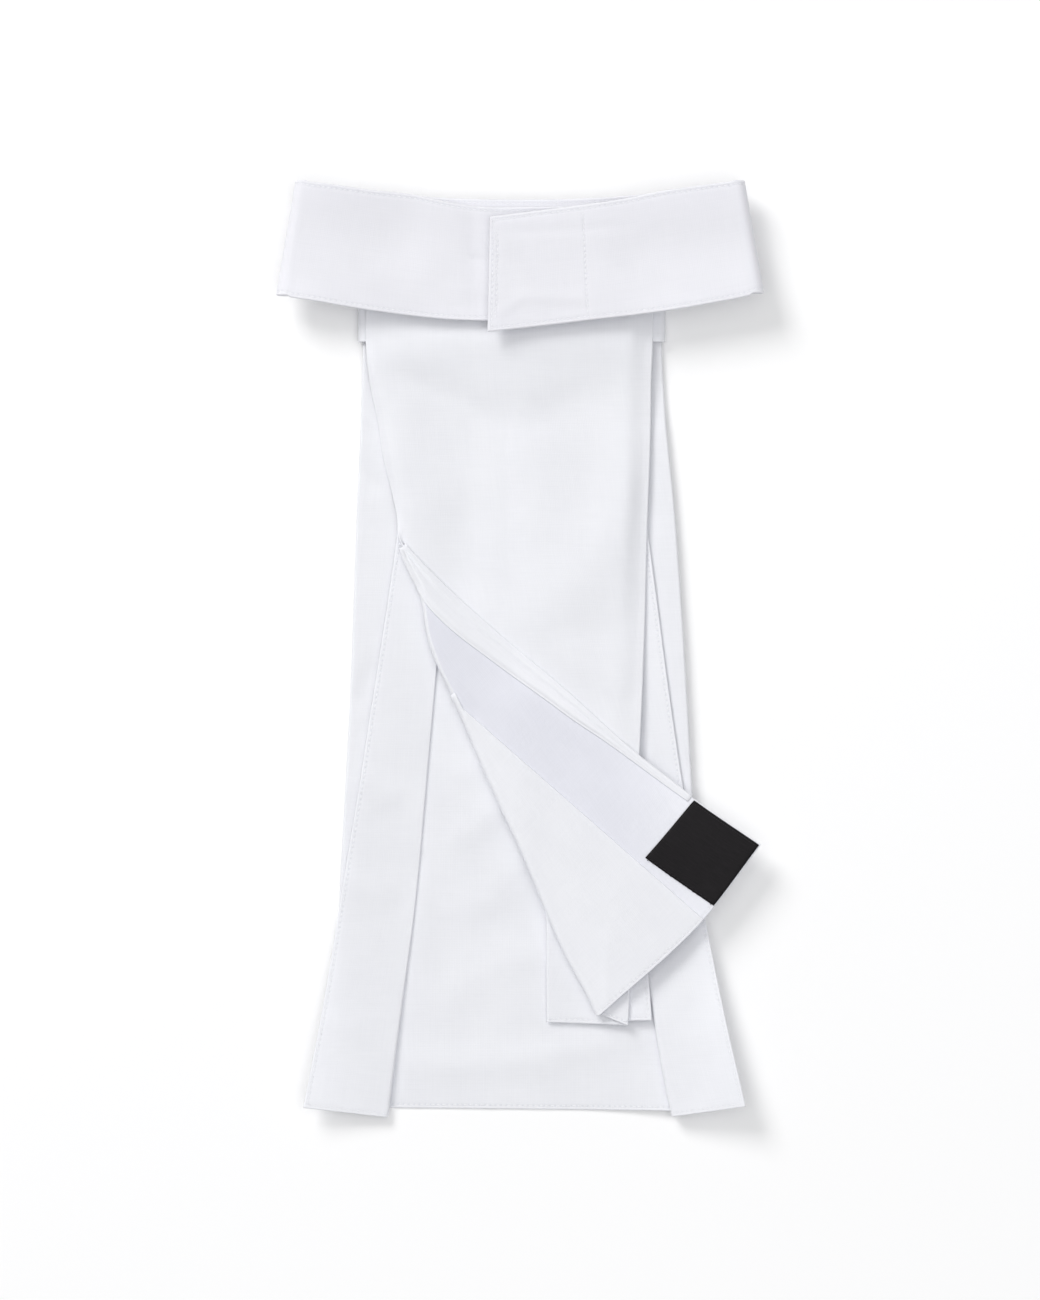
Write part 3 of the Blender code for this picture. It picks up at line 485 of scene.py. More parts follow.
# Front tail: turned corner, fold, front, right edge, return and the pleat's lower layer.
def fold_point(y):
    """Where the turned corner's fold line passes, on the outline, for the row that starts at this y."""
    off = FRONT_HEM_OFF[1] * ease(-0.110, FRONT_HEM_Y, y)
    return np.stack([FRONT.read("left", y), y + off], axis=-1)


def tip_point(y):
    """Where the turned row that starts at this y reaches the upper edge."""
    return UPPER.read((APEX_Y - y) / (APEX_Y - FRONT_HEM_Y))


def fold_out(y):
    """Outward direction across the fold line, in the XY plane."""
    step = 0.004
    line = fold_point(y - step) - fold_point(y + step)
    line /= np.linalg.norm(line, axis=-1, keepdims=True)
    return np.stack([line[..., 1], -line[..., 0]], axis=-1)


def flap_place(y, share):
    """Points of the turned corner's middle; y is (rows,), share is (rows, columns) from its fold to its upper edge."""
    inset = FACING_RISE * ease(-0.004, -0.020, y)
    radius = (LAYER + flap_puff(y)) / 2
    start = fold_point(y) - fold_out(y) * (inset + POPLIN / 2 + radius)[:, None]
    end = tip_point(y)
    last_fold, last_tip = fold_point(np.array(FRONT_HEM_Y)), tip_point(np.array(FRONT_HEM_Y))
    xy = start[:, None] + (end - start)[:, None] * share[..., None]
    bend = HEM.read(share) - (last_fold + (last_tip - last_fold) * share[..., None])
    xy = xy + bend * ease(-0.095, FRONT_HEM_Y, y)[:, None, None]
    length = width_of(start, end)[:, None]
    height = flap_height(xy[..., 0], xy[..., 1], share * length, np.maximum(1 - share, 0) * length)
    return with_height(xy, height)


def flap_length(y):
    ends = flap_place(y, np.broadcast_to(np.array([0.0, 1.0]), (len(y), 2)))
    return np.maximum(width_of(ends[:, 0, :2], ends[:, 1, :2]), 0.5 * MM)


def turned_edge(y, flap_shares):
    """Below the apex: the half round of the fold, then the turned corner up to its upper edge."""
    flap = flap_place(y, flap_shares)
    top = flap[:, 0]
    low = front_face(top[:, 0], y)
    radius = (top[:, 2] - low) / 2
    angles = (np.arange(ROLL_STEPS) / ROLL_STEPS - 0.5) * math.pi
    out = fold_out(y)[:, None, :] * (radius[:, None] * np.cos(angles))[..., None]
    xy = top[:, None, :2] + out
    z = (low + radius)[:, None] + radius[:, None] * np.sin(angles)
    return np.concatenate([with_height(xy, z), flap], axis=1)


def lip_edge(y, steps):
    """Above the apex: a narrow lip at the left edge that turns up more and more towards the apex."""
    turn = LIP.read("turn", y) / MM
    width = LIP.read("width", y)
    radius = (LAYER + FLAP_PUFF) / 2
    k = (np.arange(steps) + 0.5)[None]
    step = (width / steps)[:, None]
    curled = np.minimum(np.radians(turn)[:, None], k * step / radius)
    bent = np.radians(turn)[:, None] * k / steps
    angle = np.where(turn[:, None] > 0, curled, bent)
    zero = np.zeros((len(y), 1))
    out = np.concatenate([zero, np.cumsum(step * np.cos(angle), axis=1)], axis=1)
    rise = np.concatenate([zero, np.cumsum(step * np.sin(angle), axis=1)], axis=1)
    reach = out.max(axis=1) + POPLIN / 2 * ease(30, 60, turn)
    start = FRONT.read("left", y) + reach
    x = start[:, None] - out
    return column(x, y[:, None], front_face(x, y[:, None]) + rise)


def front_tail_points():
    y = row_places(TAIL_TOP_Y, FRONT_HEM_Y)
    hem_share = ease(-0.130, FRONT_HEM_Y, y)
    ends = [y + off * hem_share for off in FRONT_HEM_OFF]
    right, pleat_fold, pleat_hem = (FRONT.read(name, y) for name in ("right", "pleat_fold", "pleat_hem"))
    length = flap_length(y)
    flap_shares = shares(length.max(), np.maximum(length, 12 * MM), end_edge=True)
    turned = turned_edge(y, flap_shares)
    lip = lip_edge(y, turned.shape[1] - 1)
    turning = ease(*TURNING_Y, y)[:, None, None]
    left = (lip * (1 - turning) + turned * turning)[:, ::-1]
    low = front_base(right - FRAME_CLOTH, y)
    unpleated = np.maximum(right - pleat_hem - 1.5 * MM, 3 * MM)
    settle = UNPLEATED_SETTLE * ease(*UNPLEATED_WIDTH, unpleated) + LEAST_SETTLE
    right_edge = fold(right, ends[0], low + LAYER - settle, low + 2 * LAYER - FOLD_PINCH - settle, 1, False)
    low = front_base(pleat_fold + FRAME_CLOTH, y)
    pressed = PLEAT_PRESS * ease(*PLEAT_PRESS_Y, y)
    inner = fold(pleat_fold, ends[2], low, low + LAYER - pressed, -1, False)
    last = column(pleat_hem, ends[3], front_base(pleat_hem, y))
    face = span(left[:, -1], right_edge[:, 0])[:, 1:-1]
    to_edge = right_edge[:, :1, 0] - face[..., 0]
    flat = front_height(face[..., 0], y[:, None])
    face[..., 2] = flat + (front_face(face[..., 0], y[:, None]) - flat) * ease(0.0, 9 * MM, to_edge)
    face[..., 2] -= (FOLD_PINCH + settle[:, None]) * ease(10 * MM, 0.0, to_edge)
    under = span(right_edge[:, -1], inner[:, 0])[:, 1:-1]
    under[..., 2] = front_base(under[..., 0], y[:, None]) + LAYER - pressed[:, None]
    under[..., 2] -= settle[:, None] * ease(unpleated[:, None], 0.0, right_edge[:, -1:, 0] - under[..., 0])
    lowest = span(inner[:, -1], last, end_edge=True)[:, 1:]
    lowest[..., 2] = front_base(lowest[..., 0], y[:, None])
    points = np.concatenate([left, face, right_edge, under, inner, lowest], axis=1)
    return points, left.shape[1]


def row_share_at_facing_edge(y):
    """How far along each turned row, from the fold, the facing reaches."""
    a, b = (np.array(point) * MM for point in FACING_EDGE)
    normal = np.array((a[1] - b[1], b[0] - a[0]))
    tries = np.linspace(0, 1, 201)
    places = flap_place(y, np.broadcast_to(tries, (len(y), len(tries))))[..., :2]
    sides = (places - a) @ normal
    return np.array([np.interp(0.0, line, tries) for line in sides])


def raised(y, share, height):
    points = flap_place(y, share)
    points[..., 2] += height
    return points


def facing_points():
    """The panel on the turned corner: it comes round the fold from its outermost point and stops at its edge."""
    y = row_places(FACING_EDGE[0][1] * MM, FRONT_HEM_Y)
    stop = row_share_at_facing_edge(y)
    reach = stop * flap_length(y)
    part = shares(reach.max(), np.maximum(reach, 8 * MM), end_edge=True) * stop[:, None]
    flat = raised(y, part, FACING_RISE)
    to_edge = (stop[:, None] - part) * flap_length(y)[:, None]
    flat[..., 2] -= SEWN_EDGE_DROP * ease(1.0 * MM, 0.0, to_edge)
    return np.concatenate([fold_wrap(y, FACING_RISE, np.linspace(0.0, 0.45, 6)), flat], axis=1)


def fold_wrap(y, rise, turns):
    """Points round the turned corner's fold, at a rise over it; turns run from 0, at its outermost, to 0.5, its top."""
    top = flap_place(y, np.zeros((len(y), 1)))[:, 0]
    low = front_face(top[:, 0], y)
    inner = (top[:, 2] - low) / 2
    angles = np.asarray(turns) * math.pi
    radius = (inner + rise)[:, None]
    xy = top[:, None, :2] + fold_out(y)[:, None] * (radius * np.cos(angles))[..., None]
    return with_height(xy, (low + inner)[:, None] + radius * np.sin(angles))


def rolled_edge_points():
    """The narrow turning along the upper edge: a full lip below, a dip and a thin ridge. At first it is the outline."""
    y = np.arange(*ROLLED_Y, -ROLLED_STEP)
    length = flap_length(y)
    width = ROLLED.read("width", y)
    start = np.maximum(0.02, 1 - width / length)
    across, profile = np.array(ROLLED_PROFILE).T
    fullness = ease(0.6 * MM, 6.0 * MM, width)[:, None]
    rise = (ROLLED_RISE + ROLLED_TOP_RISE * ease(*ROLLED_TOP_Y, y))[:, None]
    strip = raised(y, start[:, None] + (1 - start[:, None]) * across, 0.0)
    strip[..., 2] += rise + profile * MM * fullness
    before, drop = np.array(ROLLED_LIP).T * MM
    lip = raised(y, start[:, None] - before / length[:, None], 0.0)
    lip[..., 2] += rise - drop
    outline = fold_wrap(y, rise[:, 0], (0.0, 0.16, 0.32))
    at_outline = ease(*ROLLED_OUTLINE_Y, y)[:, None, None]
    lip = lip * (1 - at_outline) + outline * at_outline
    lip[..., 2] += (ROLLED_LIFT * at_outline * (1 - at_outline))[..., 0]
    past, drop = np.array(ROLLED_SLOPE).T
    past = (0.76 + 0.14 * ease(-0.045, 0.0, y))[:, None] * MM * past / length[:, None]
    slope = raised(y, 1 + past, 0.0)
    slope[..., 2] += rise - drop * MM
    return np.concatenate([lip, strip, slope], axis=1)


def label_points():
    """The label, square to the turned corner's tip and flush with its two edges."""
    rows, columns = LABEL_GRID
    height = APEX_Y - FRONT_HEM_Y
    last = FRONT_HEM_Y + LABEL_MARGIN * height / UPPER.length
    first = last + LABEL_WIDTH * height / UPPER.length
    y = np.linspace(first, last, rows)
    length = flap_length(y)
    far = 1 - LABEL_MARGIN / length
    near = far - LABEL_DEPTH / length
    share = near[:, None] + (far - near)[:, None] * np.linspace(0, 1, columns)
    points = raised(y, share, FACING_RISE)
    down, along = np.meshgrid(np.arange(rows) / (rows - 1), np.arange(columns) / (columns - 1), indexing="ij")
    inside = np.minimum(np.minimum(down, 1 - down), np.minimum(along, 1 - along)) * LABEL_WIDTH
    points[..., 2] -= SEWN_EDGE_DROP * ease(1.6 * MM, 0.0, inside)
    return points


def tape_points(z):
    x = np.linspace(TAPE_LEFT_X, TAPE_RIGHT_X, TAPE_GRID[1])
    y = np.linspace(TAPE_HIGH_Y, TAPE_LOW_Y, TAPE_GRID[0])
    return column(x[None], y[:, None], np.full(TAPE_GRID, z))


# Heights of the neck band's layers over the tails.
TAILS_TOP = FRAME_CLOTH / 2 + 2 * LAYER + SLEEVE_STEP + 2 * SLEEVE_STEP + 2 * LAYER + FRAME_CLOTH / 2
THROAT_Z = TAILS_TOP + FRAME_SEAM + FRAME_BAND / 2
LEFT_END_Z = THROAT_Z + FRAME_BAND + NECK_HOLLOW
LOOP_TAPE_Z = LEFT_END_Z + FRAME_BAND / 2 + FRAME_SEAM + FRAME_TAPE / 2
HOOK_TAPE_Z = LOOP_TAPE_Z + FRAME_TAPE + FRAME_SEAM
RIGHT_END_Z = HOOK_TAPE_Z + FRAME_TAPE / 2 + FRAME_SEAM + FRAME_BAND / 2


def wing(x):
    """How far the band's layers bow apart: none over the tails, and full towards the ends."""
    return WING_PUFF * ease(*WING_X, np.abs(x))


def sag(x):
    """How far the band's upper layers sag between its wings."""
    return BAND_SAG * ease(*SAG_X, np.abs(x))


def band_part(rows, xs, heights):
    """The lower and upper end of each line across one stretch of the band."""
    table = Lines(BAND_COLUMNS, rows)
    low = column(xs, table.read("low", xs), heights)
    high = column(xs * BAND_TAPER, table.read("high", xs), heights)
    return low, high


def band_bend(side):
    """Lines across the band round one of its folded ends, from the throat up to the upper layer."""
    low_z = THROAT_Z - WING_PUFF
    high_z = LEFT_END_Z
    radius = (high_z - low_z) / 2
    reach = min(radius, BEND_REACH)
    angles = np.linspace(-0.5, 0.5, 17) * math.pi
    z = (low_z + high_z) / 2 + radius * np.sin(angles)
    x = side * (BAND_END_X - STIFF_POPLIN / 2 - reach + reach * np.cos(angles))
    return column(x, BAND_LOW_Y[side > 0], z), column(x * BAND_TAPER, BAND_HIGH_Y, z)


def band_xs(start, end):
    """Evenly spaced places along the band, from start to end, about a band step apart."""
    return np.linspace(start, end, int(abs(end - start) / BAND_STEP))


def neck_band_points():
    """Lines across the band from its left end round to its right end, and the place of the tape's seam in them."""
    left_x = np.concatenate([LEFT_END_X - EDGE_STEPS, band_xs(0.034, -BEND_START_X)])
    throat_x = band_xs(-BEND_START_X, BEND_START_X)
    over_tapes = RIGHT_END_Z - LEFT_END_Z
    to_seam = band_xs(BEND_START_X, TAPE_SEAM_X + TAPE_SEAM_CLEAR)
    right_x = np.concatenate([
        to_seam,
        TAPE_SEAM_X + TAPE_SEAM_STEPS,
        band_xs(TAPE_SEAM_X - TAPE_SEAM_CLEAR, RIGHT_END_X + EDGE_STEPS[-1] + 1.4 * MM),
        RIGHT_END_X + RIGHT_END_STEPS,
    ])
    stretches = [
        band_part(LEFT_END, left_x, LEFT_END_Z - sag(left_x)),
        tuple(end[::-1] for end in band_bend(-1)),
        band_part(THROAT, throat_x, THROAT_Z - wing(throat_x)),
        band_bend(1),
        band_part(RIGHT_END, right_x, LEFT_END_Z - sag(right_x) + over_tapes * ease(0.088, 0.048, right_x)),
    ]
    low = np.concatenate([stretch[0] for stretch in stretches])
    high = np.concatenate([stretch[1] for stretch in stretches])
    width = width_of(low, high)
    part = shares(width.max(), width, start_edge=True, end_edge=True)
    points = run(low, high, part)
    x, y = points[..., 0], points[..., 1]
    upper = ease(LEFT_END_Z - BAND_SAG - 1.5 * MM, LEFT_END_Z - BAND_SAG, points[..., 2])
    hollow = BAND_HOLLOW * (2 * part - 1) ** 2
    tilt = 2 * BAND_TILT * (0.5 - part) * ease(0.050, 0.090, np.abs(x))
    right_end = points[..., 2] > (LEFT_END_Z + RIGHT_END_Z) / 2 - BAND_SAG
    droop = np.where(right_end, *BAND_DROOP) * ease(0.30, 0.0, part) * ease(0.060, 0.040, np.abs(x))
    points[..., 2] += upper * (hollow + tilt - droop + crease_rise(x, y, BAND_CREASES) + ripple(x, y, 0.00008))
    before_seam = [stretch[0] for stretch in stretches[:-1]] + [to_seam]
    return points, sum(len(part) for part in before_seam) + TAPE_SEAM_COLUMN


def sleeve_points():
    """Rows round the sleeve's closed section, from its top to its hem."""
    bottom = FRAME_CLOTH / 2
    top = bottom + 2 * LAYER + 2 * SLEEVE_STEP
    radius = (top - bottom) / 2
    left = SLEEVE_LEFT_X + POPLIN / 2 + radius
    right = SLEEVE_RIGHT_X - POPLIN / 2 - radius
    section = []
    for centre, start, next_centre in ((right, -0.5, left), (left, 0.5, right)):
        angles = (start + np.linspace(0, 1, 13)) * math.pi
        turn = np.stack([centre + radius * np.cos(angles), bottom + radius + radius * np.sin(angles)], axis=-1)
        flat_x = np.linspace(centre, next_centre, 66)[1:-1]
        section += [turn, np.stack([flat_x, np.full(len(flat_x), turn[-1, 1])], axis=-1)]
    section = np.concatenate(section)
    ys = row_places(SLEEVE_TOP_Y, SLEEVE_HEM_Y)
    return np.stack([np.stack([section[:, 0], np.full(len(section), y), section[:, 1]], axis=-1) for y in ys])


# Shells.
STITCH_PITCH = 2.2 * MM
SEAM_SAMPLE = 0.25 * MM
LABEL_ZIGZAG = 0.7 * MM
TAPE_ZIGZAG = 0.35 * MM
SEAM_GROOVE = 0.55 * MM  # half width of the groove that the stitches draw in
SEAM_DRAW = 0.28  # how much of the wall the stitches draw in
FAR_FROM_SEAM = 0.010


class Cloth:
    """A thin shell round a grid of middle points, with its seams."""

    def __init__(self, name, points, wall, closed=False):
        self.name, self.points, self.wall, self.closed = name, points, wall, closed
        self.rows, self.columns = points.shape[:2]
        self.normals = self.grid_normals()
        # Share of the cloth's colour left unshaded: below 1 where shade is painted on it.
        self.unshaded_share = np.ones(points.shape[:2])
        self.seams = []

    def grid_normals(self):
        down = np.gradient(self.points, axis=0)
        if self.closed:
            across = np.roll(self.points, -1, axis=1) - np.roll(self.points, 1, axis=1)
        else:
            across = np.gradient(self.points, axis=1)
        normal = np.cross(down, across)
        return normal / np.maximum(np.linalg.norm(normal, axis=-1, keepdims=True), 1e-12)

    def lengths(self):
        """The flat place of each point: across its row and down its column, in metres."""
        across = np.linalg.norm(np.diff(self.points, axis=1), axis=-1)
        down = np.linalg.norm(np.diff(self.points, axis=0), axis=-1).mean(axis=1)
        u = np.concatenate([np.zeros((len(self.points), 1)), np.cumsum(across, axis=1)], axis=1)
        u -= u[:, u.shape[1] // 2][:, None]
        v = np.concatenate([[0.0], np.cumsum(down)])
        return u, np.broadcast_to(v[:, None], u.shape)

    def sample(self, rows, columns):
        """Points and normals at places between the grid's rows and columns."""
        i = np.clip(np.floor(rows).astype(int), 0, self.rows - 2)
        j = np.clip(np.floor(columns).astype(int), 0, self.columns - 2)
        a, b = (rows - i)[:, None], (columns - j)[:, None]
        found = []
        for field in (self.points, self.normals):
            upper = field[i, j] * (1 - b) + field[i, j + 1] * b
            lower = field[i + 1, j] * (1 - b) + field[i + 1, j + 1] * b
            found.append(upper * (1 - a) + lower * a)
        return found

    def beside_edges(self):
        """The row of a hem's stitches, and the two columns of the sides' stitches."""
        return self.rows - 1 - STITCH_COLUMN, (STITCH_COLUMN, self.columns - 1 - STITCH_COLUMN)

    def add_columns(self, columns, rows):
        """A seam down each of these columns."""
        for j in columns:
            self.add_seam(rows, (j, j))

    def add_seam(self, rows, columns, zigzag=0.0, pitch=STITCH_PITCH):
        """A seam between two places of the grid, (first, last) of rows and of columns."""
        count = 12 * int(max(abs(rows[1] - rows[0]), abs(columns[1] - columns[0]), 1))
        t = np.linspace(0, 1, count)
        points, normals = self.sample(rows[0] + (rows[1] - rows[0]) * t, columns[0] + (columns[1] - columns[0]) * t)
        along = np.concatenate([[0.0], np.cumsum(np.linalg.norm(np.diff(points, axis=0), axis=1))])
        stitches = int((along[-1] - 0.4 * pitch) / pitch)
        start = (along[-1] - stitches * pitch) / 2
        places = start + np.arange(0, stitches * pitch, SEAM_SAMPLE)
        line = np.stack([np.interp(places, along, points[:, k]) for k in range(3)], axis=-1)
        out = np.stack([np.interp(places, along, normals[:, k]) for k in range(3)], axis=-1)
        if zigzag:
            side = np.cross(out, np.gradient(line, axis=0))
            side /= np.linalg.norm(side, axis=-1, keepdims=True)
            phase = (places - start) / pitch
            line = line + side * (zigzag * (4 * np.abs(phase - np.floor(phase + 0.5)) - 1))[:, None]
        self.seams.append((line, out, places - start))

    def seam_fields(self):
        """Each point's distance to the nearest seam and its place along it."""
        shape = (self.rows, self.columns)
        far, along = np.full(shape, FAR_FROM_SEAM), np.zeros(shape)
        if not self.seams:
            return far, along
        lines = np.concatenate([seam[0] for seam in self.seams])
        places = np.concatenate([seam[2] for seam in self.seams])
        tree = kdtree.KDTree(len(lines))
        for k, point in enumerate(lines):
            tree.insert(point, k)
        tree.balance()
        for index in np.ndindex(*shape):
            _, nearest, distance = tree.find(self.points[index])
            if distance < FAR_FROM_SEAM:
                far[index], along[index] = distance, places[nearest]
        return far, along

    def shell(self, material):
        """The closed mesh: both sides of the cloth and a round rim."""
        rows, columns = self.rows, self.columns
        far, along = self.seam_fields()
        wall = self.wall * (1 - SEAM_DRAW * np.exp(-((far / SEAM_GROOVE) ** 2)))
        half = self.normals * (wall / 2)[..., None]
        rim = self.rim_ring()
        rim_out = self.rim_directions(rim) * (self.wall * 0.42)
        sides = [self.points + half, self.points - half]
        ring_points = np.array([self.points[i, j] for i, j in rim]) + rim_out
        vertices = np.concatenate([side.reshape(-1, 3) for side in sides] + [ring_points])
        size = rows * columns
        where = np.concatenate([np.arange(size), np.arange(size), [i * columns + j for i, j in rim]])
        faces = []
        wraps = columns if self.closed else columns - 1
        a = (np.arange(rows - 1)[:, None] * columns + np.arange(wraps)).ravel()
        b = (np.arange(rows - 1)[:, None] * columns + (np.arange(wraps) + 1) % columns).ravel()
        faces.append(np.stack([a, a + columns, b + columns, b], axis=-1))
        faces.append(np.stack([b, b + columns, a + columns, a], axis=-1) + size)
        loops = self.rim_loops(rim)
        for loop in loops:
            grid_place = np.array([i * columns + j for i, j in (rim[k] for k in loop)])
            ring_place = 2 * size + np.array(loop)
            nxt = np.roll(np.arange(len(loop)), -1)
            faces.append(np.stack([grid_place, grid_place[nxt], ring_place[nxt], ring_place], axis=-1))
            faces.append(np.stack([ring_place, ring_place[nxt], grid_place[nxt] + size, grid_place + size], axis=-1))
        faces = np.concatenate(faces)
        mesh = bpy.data.meshes.new(self.name)
        mesh.from_pydata(vertices.tolist(), [], faces.tolist())
        turn_faces_out(mesh)
        u, v = (field.ravel()[where] for field in self.lengths())
        self.write_flat_places(mesh, u, v)
        for label, field in (("seam_far", far), ("seam_along", along), ("unshaded_share", self.unshaded_share)):
            layer = mesh.attributes.new(label, "FLOAT", "POINT")
            layer.data.foreach_set("value", field.ravel()[where].astype(np.float32))
        mesh.shade_smooth()
        mesh.materials.append(material)
        return link(bpy.data.objects.new(self.name, mesh))

    def write_flat_places(self, mesh, u, v):
        """The UV map, in metres of flat cloth. A closed ring's last faces go on past its length, not back to 0."""
        corners = np.zeros(len(mesh.loops), np.int32)
        mesh.loops.foreach_get("vertex_index", corners)
        uv = np.stack([u[corners], v[corners]], axis=-1)
        if self.closed:
            quads = uv.reshape(-1, 4, 2)
            span = u.max() - u.min() + STEP
            behind = (quads[..., 0].max(axis=1, keepdims=True) - quads[..., 0]) > span / 2
            quads[..., 0] += behind * span
        layer = mesh.uv_layers.new(name="flat_cloth")
        layer.data.foreach_set("uv", uv.astype(np.float32).ravel())

    def rim_ring(self):
        rows, columns = self.rows, self.columns
        if self.closed:
            return [(0, j) for j in range(columns)] + [(rows - 1, j) for j in range(columns)]
        ring = [(0, j) for j in range(columns)]
        ring += [(i, columns - 1) for i in range(1, rows)]
        ring += [(rows - 1, j) for j in range(columns - 2, -1, -1)]
        return ring + [(i, 0) for i in range(rows - 2, 0, -1)]

    def rim_loops(self, rim):
        count = len(rim)
        if self.closed:
            half = count // 2
            return [list(range(half)), list(range(count - 1, half - 1, -1))]
        return [list(range(count))]

    def rim_directions(self, rim):
        rows, columns = self.rows, self.columns
        out = []
        for i, j in rim:
            away = np.zeros(3)
            here = self.points[i, j]
            if i in (0, rows - 1):
                away += unit(here - self.points[1 if i == 0 else rows - 2, j])
            if not self.closed and j in (0, columns - 1):
                away += unit(here - self.points[i, 1 if j == 0 else columns - 2])
            out.append(unit(away))
        return np.array(out)


def unit(vector):
    length = np.linalg.norm(vector)
    return vector / length if length > 0 else vector


def turn_faces_out(mesh):
    mesh.calc_loop_triangles()
    count = len(mesh.loop_triangles)
    corners = np.zeros(count * 3, np.int32)
    mesh.loop_triangles.foreach_get("vertices", corners)
    places = np.zeros(len(mesh.vertices) * 3)
    mesh.vertices.foreach_get("co", places)
    triangles = places.reshape(-1, 3)[corners.reshape(-1, 3)]
    if np.einsum("ij,ij->i", triangles[:, 0], np.cross(triangles[:, 1], triangles[:, 2])).sum() < 0:
        mesh.flip_normals()


def link(obj):
    bpy.context.scene.collection.objects.link(obj)
    return obj


# Materials.
def linear(hex_colour):
    """The linear colour of an sRGB hex value."""
    channels = [int(hex_colour[i : i + 2], 16) / 255 for i in (1, 3, 5)]
    return [c / 12.92 if c <= 0.04045 else ((c + 0.055) / 1.055) ** 2.4 for c in channels] + [1.0]


def add(tree, kind, settings=None, links=None):
    """A node with its settings, and its inputs linked or set."""
    node = tree.nodes.new(kind)
    for name, value in (settings or {}).items():
        setattr(node, name, value)
    for socket, value in (links or {}).items():
        if isinstance(value, bpy.types.NodeSocket):
            tree.links.new(value, node.inputs[socket])
        else:
            node.inputs[socket].default_value = value
    return node


def maths(tree, operation, *values):
    node = add(tree, "ShaderNodeMath", {"operation": operation}, dict(enumerate(values)))
    return node.outputs[0]


def new_material(name, shader_values):
    material = bpy.data.materials.new(name)
    material.use_nodes = True
    shader = material.node_tree.nodes["Principled BSDF"]
    for socket, value in shader_values.items():
        shader.inputs[socket].default_value = value
    return material, material.node_tree, shader


def plain_weave(tree, flat, thread):
    """Height from 0 to 1 of a plain weave: a bump where each thread passes over its neighbour."""
    axes = add(tree, "ShaderNodeSeparateXYZ", links={0: flat})
    turns = [maths(tree, "SINE", maths(tree, "MULTIPLY", axes.outputs[k], math.pi / thread)) for k in (0, 1)]
    return maths(tree, "ABSOLUTE", maths(tree, "MULTIPLY", *turns))


def noise(tree, place, scale, detail, flat=False):
    settings = {"noise_dimensions": "2D"} if flat else None
    return add(tree, "ShaderNodeTexNoise", settings, {"Vector": place, "Scale": scale, "Detail": detail}).outputs["Fac"]


def slubs(tree, flat, long, thin, turned, seed):
    """Streaks of thicker and thinner thread, long and thin in metres, along the rows or turned down the columns."""
    scale = (1 / thin, 1 / long, 1.0) if turned else (1 / long, 1 / thin, 1.0)
    place = add(tree, "ShaderNodeMapping", links={"Vector": flat, "Scale": scale, "Location": (seed, seed, 0.0)})
    return noise(tree, place.outputs[0], 1.0, 2.0, flat=True)


def attribute(tree, name):
    return add(tree, "ShaderNodeAttribute", {"attribute_name": name}).outputs["Fac"]


def ramp(tree, value, colours, start=0.0, end=1.0):
    """The colour between two, which changes as the value goes from start to end."""
    node = add(tree, "ShaderNodeValToRGB", links={0: value})
    for element, place, colour in zip(node.color_ramp.elements, (start, end), colours):
        element.position = place
        element.color = linear(colour)
    return node.outputs[0]


def tinted(tree, share, colour, tint):
    """A colour, multiplied by a tint as far as the share says."""
    settings = {"data_type": "RGBA", "blend_type": "MULTIPLY"}
    return add(tree, "ShaderNodeMix", settings, {0: share, 6: colour, 7: linear(tint)}).outputs[2]


def finish_shader(tree, shader, colour, height=None, distance=MM, strength=1.0):
    """Links the colour, and the height as a bump, to the shader."""
    tree.links.new(colour, shader.inputs["Base Color"])
    if height is not None:
        bump = add(tree, "ShaderNodeBump", links={"Height": height, "Distance": distance, "Strength": strength})
        tree.links.new(bump.outputs[0], shader.inputs["Normal"])


def needle_holes(tree):
    """1 at each needle hole of a seam, 0 away from it."""
    beside = maths(tree, "POWER", maths(tree, "DIVIDE", attribute(tree, "seam_far"), HOLE_RADIUS), 2.0)
    near = maths(tree, "EXPONENT", maths(tree, "MULTIPLY", beside, -1.0))
    turn = maths(tree, "MULTIPLY", attribute(tree, "seam_along"), 2 * math.pi / STITCH_PITCH)
    dot = maths(tree, "POWER", maths(tree, "MULTIPLY_ADD", maths(tree, "COSINE", turn), 0.5, 0.5), 3.0)
    return maths(tree, "MULTIPLY", near, dot)


def cotton(name, shader_values, colours, weave_height, slub_height):
    """Bleached cotton: a plain weave with slubs, drawn in at the needle holes, with painted shade in the needle holes
    and on the turned corner where its unshaded share is below 1.
    """
    material, tree, shader = new_material(name, shader_values)
    flat = add(tree, "ShaderNodeUVMap", {"uv_map": "flat_cloth"}).outputs["UV"]
    weave = plain_weave(tree, flat, POPLIN_THREAD)
    rows = slubs(tree, flat, 14 * MM, 0.5 * MM, False, 3.0)
    columns = slubs(tree, flat, 22 * MM, 0.5 * MM, True, 8.0)
    holes = needle_holes(tree)
    streaks = maths(tree, "MULTIPLY", maths(tree, "ADD", rows, columns), 0.5)
    cloudy = maths(tree, "MULTIPLY", noise(tree, flat, 28.0, 3.0, flat=True), 1 - STREAK_SHARE)
    colour = ramp(tree, maths(tree, "MULTIPLY_ADD", streaks, STREAK_SHARE, cloudy), colours, 0.3, 0.7)
    # Painted shade on the turned corner, where the unshaded share is below 1.
    colour = tinted(tree, maths(tree, "SUBTRACT", 1.0, attribute(tree, "unshaded_share")), colour, PAINTED_SHADE_TINT)
    # Painted shade in the needle holes.
    colour = tinted(tree, maths(tree, "MULTIPLY", holes, HOLE_SHADE), colour, HOLE_PAINTED_SHADE_TINT)
    height = maths(tree, "MULTIPLY", weave, weave_height / MM)
    height = maths(tree, "MULTIPLY_ADD", streaks, slub_height / MM, height)
    finish_shader(tree, shader, colour, maths(tree, "MULTIPLY_ADD", holes, -HOLE_DEPTH / MM, height))
    return material


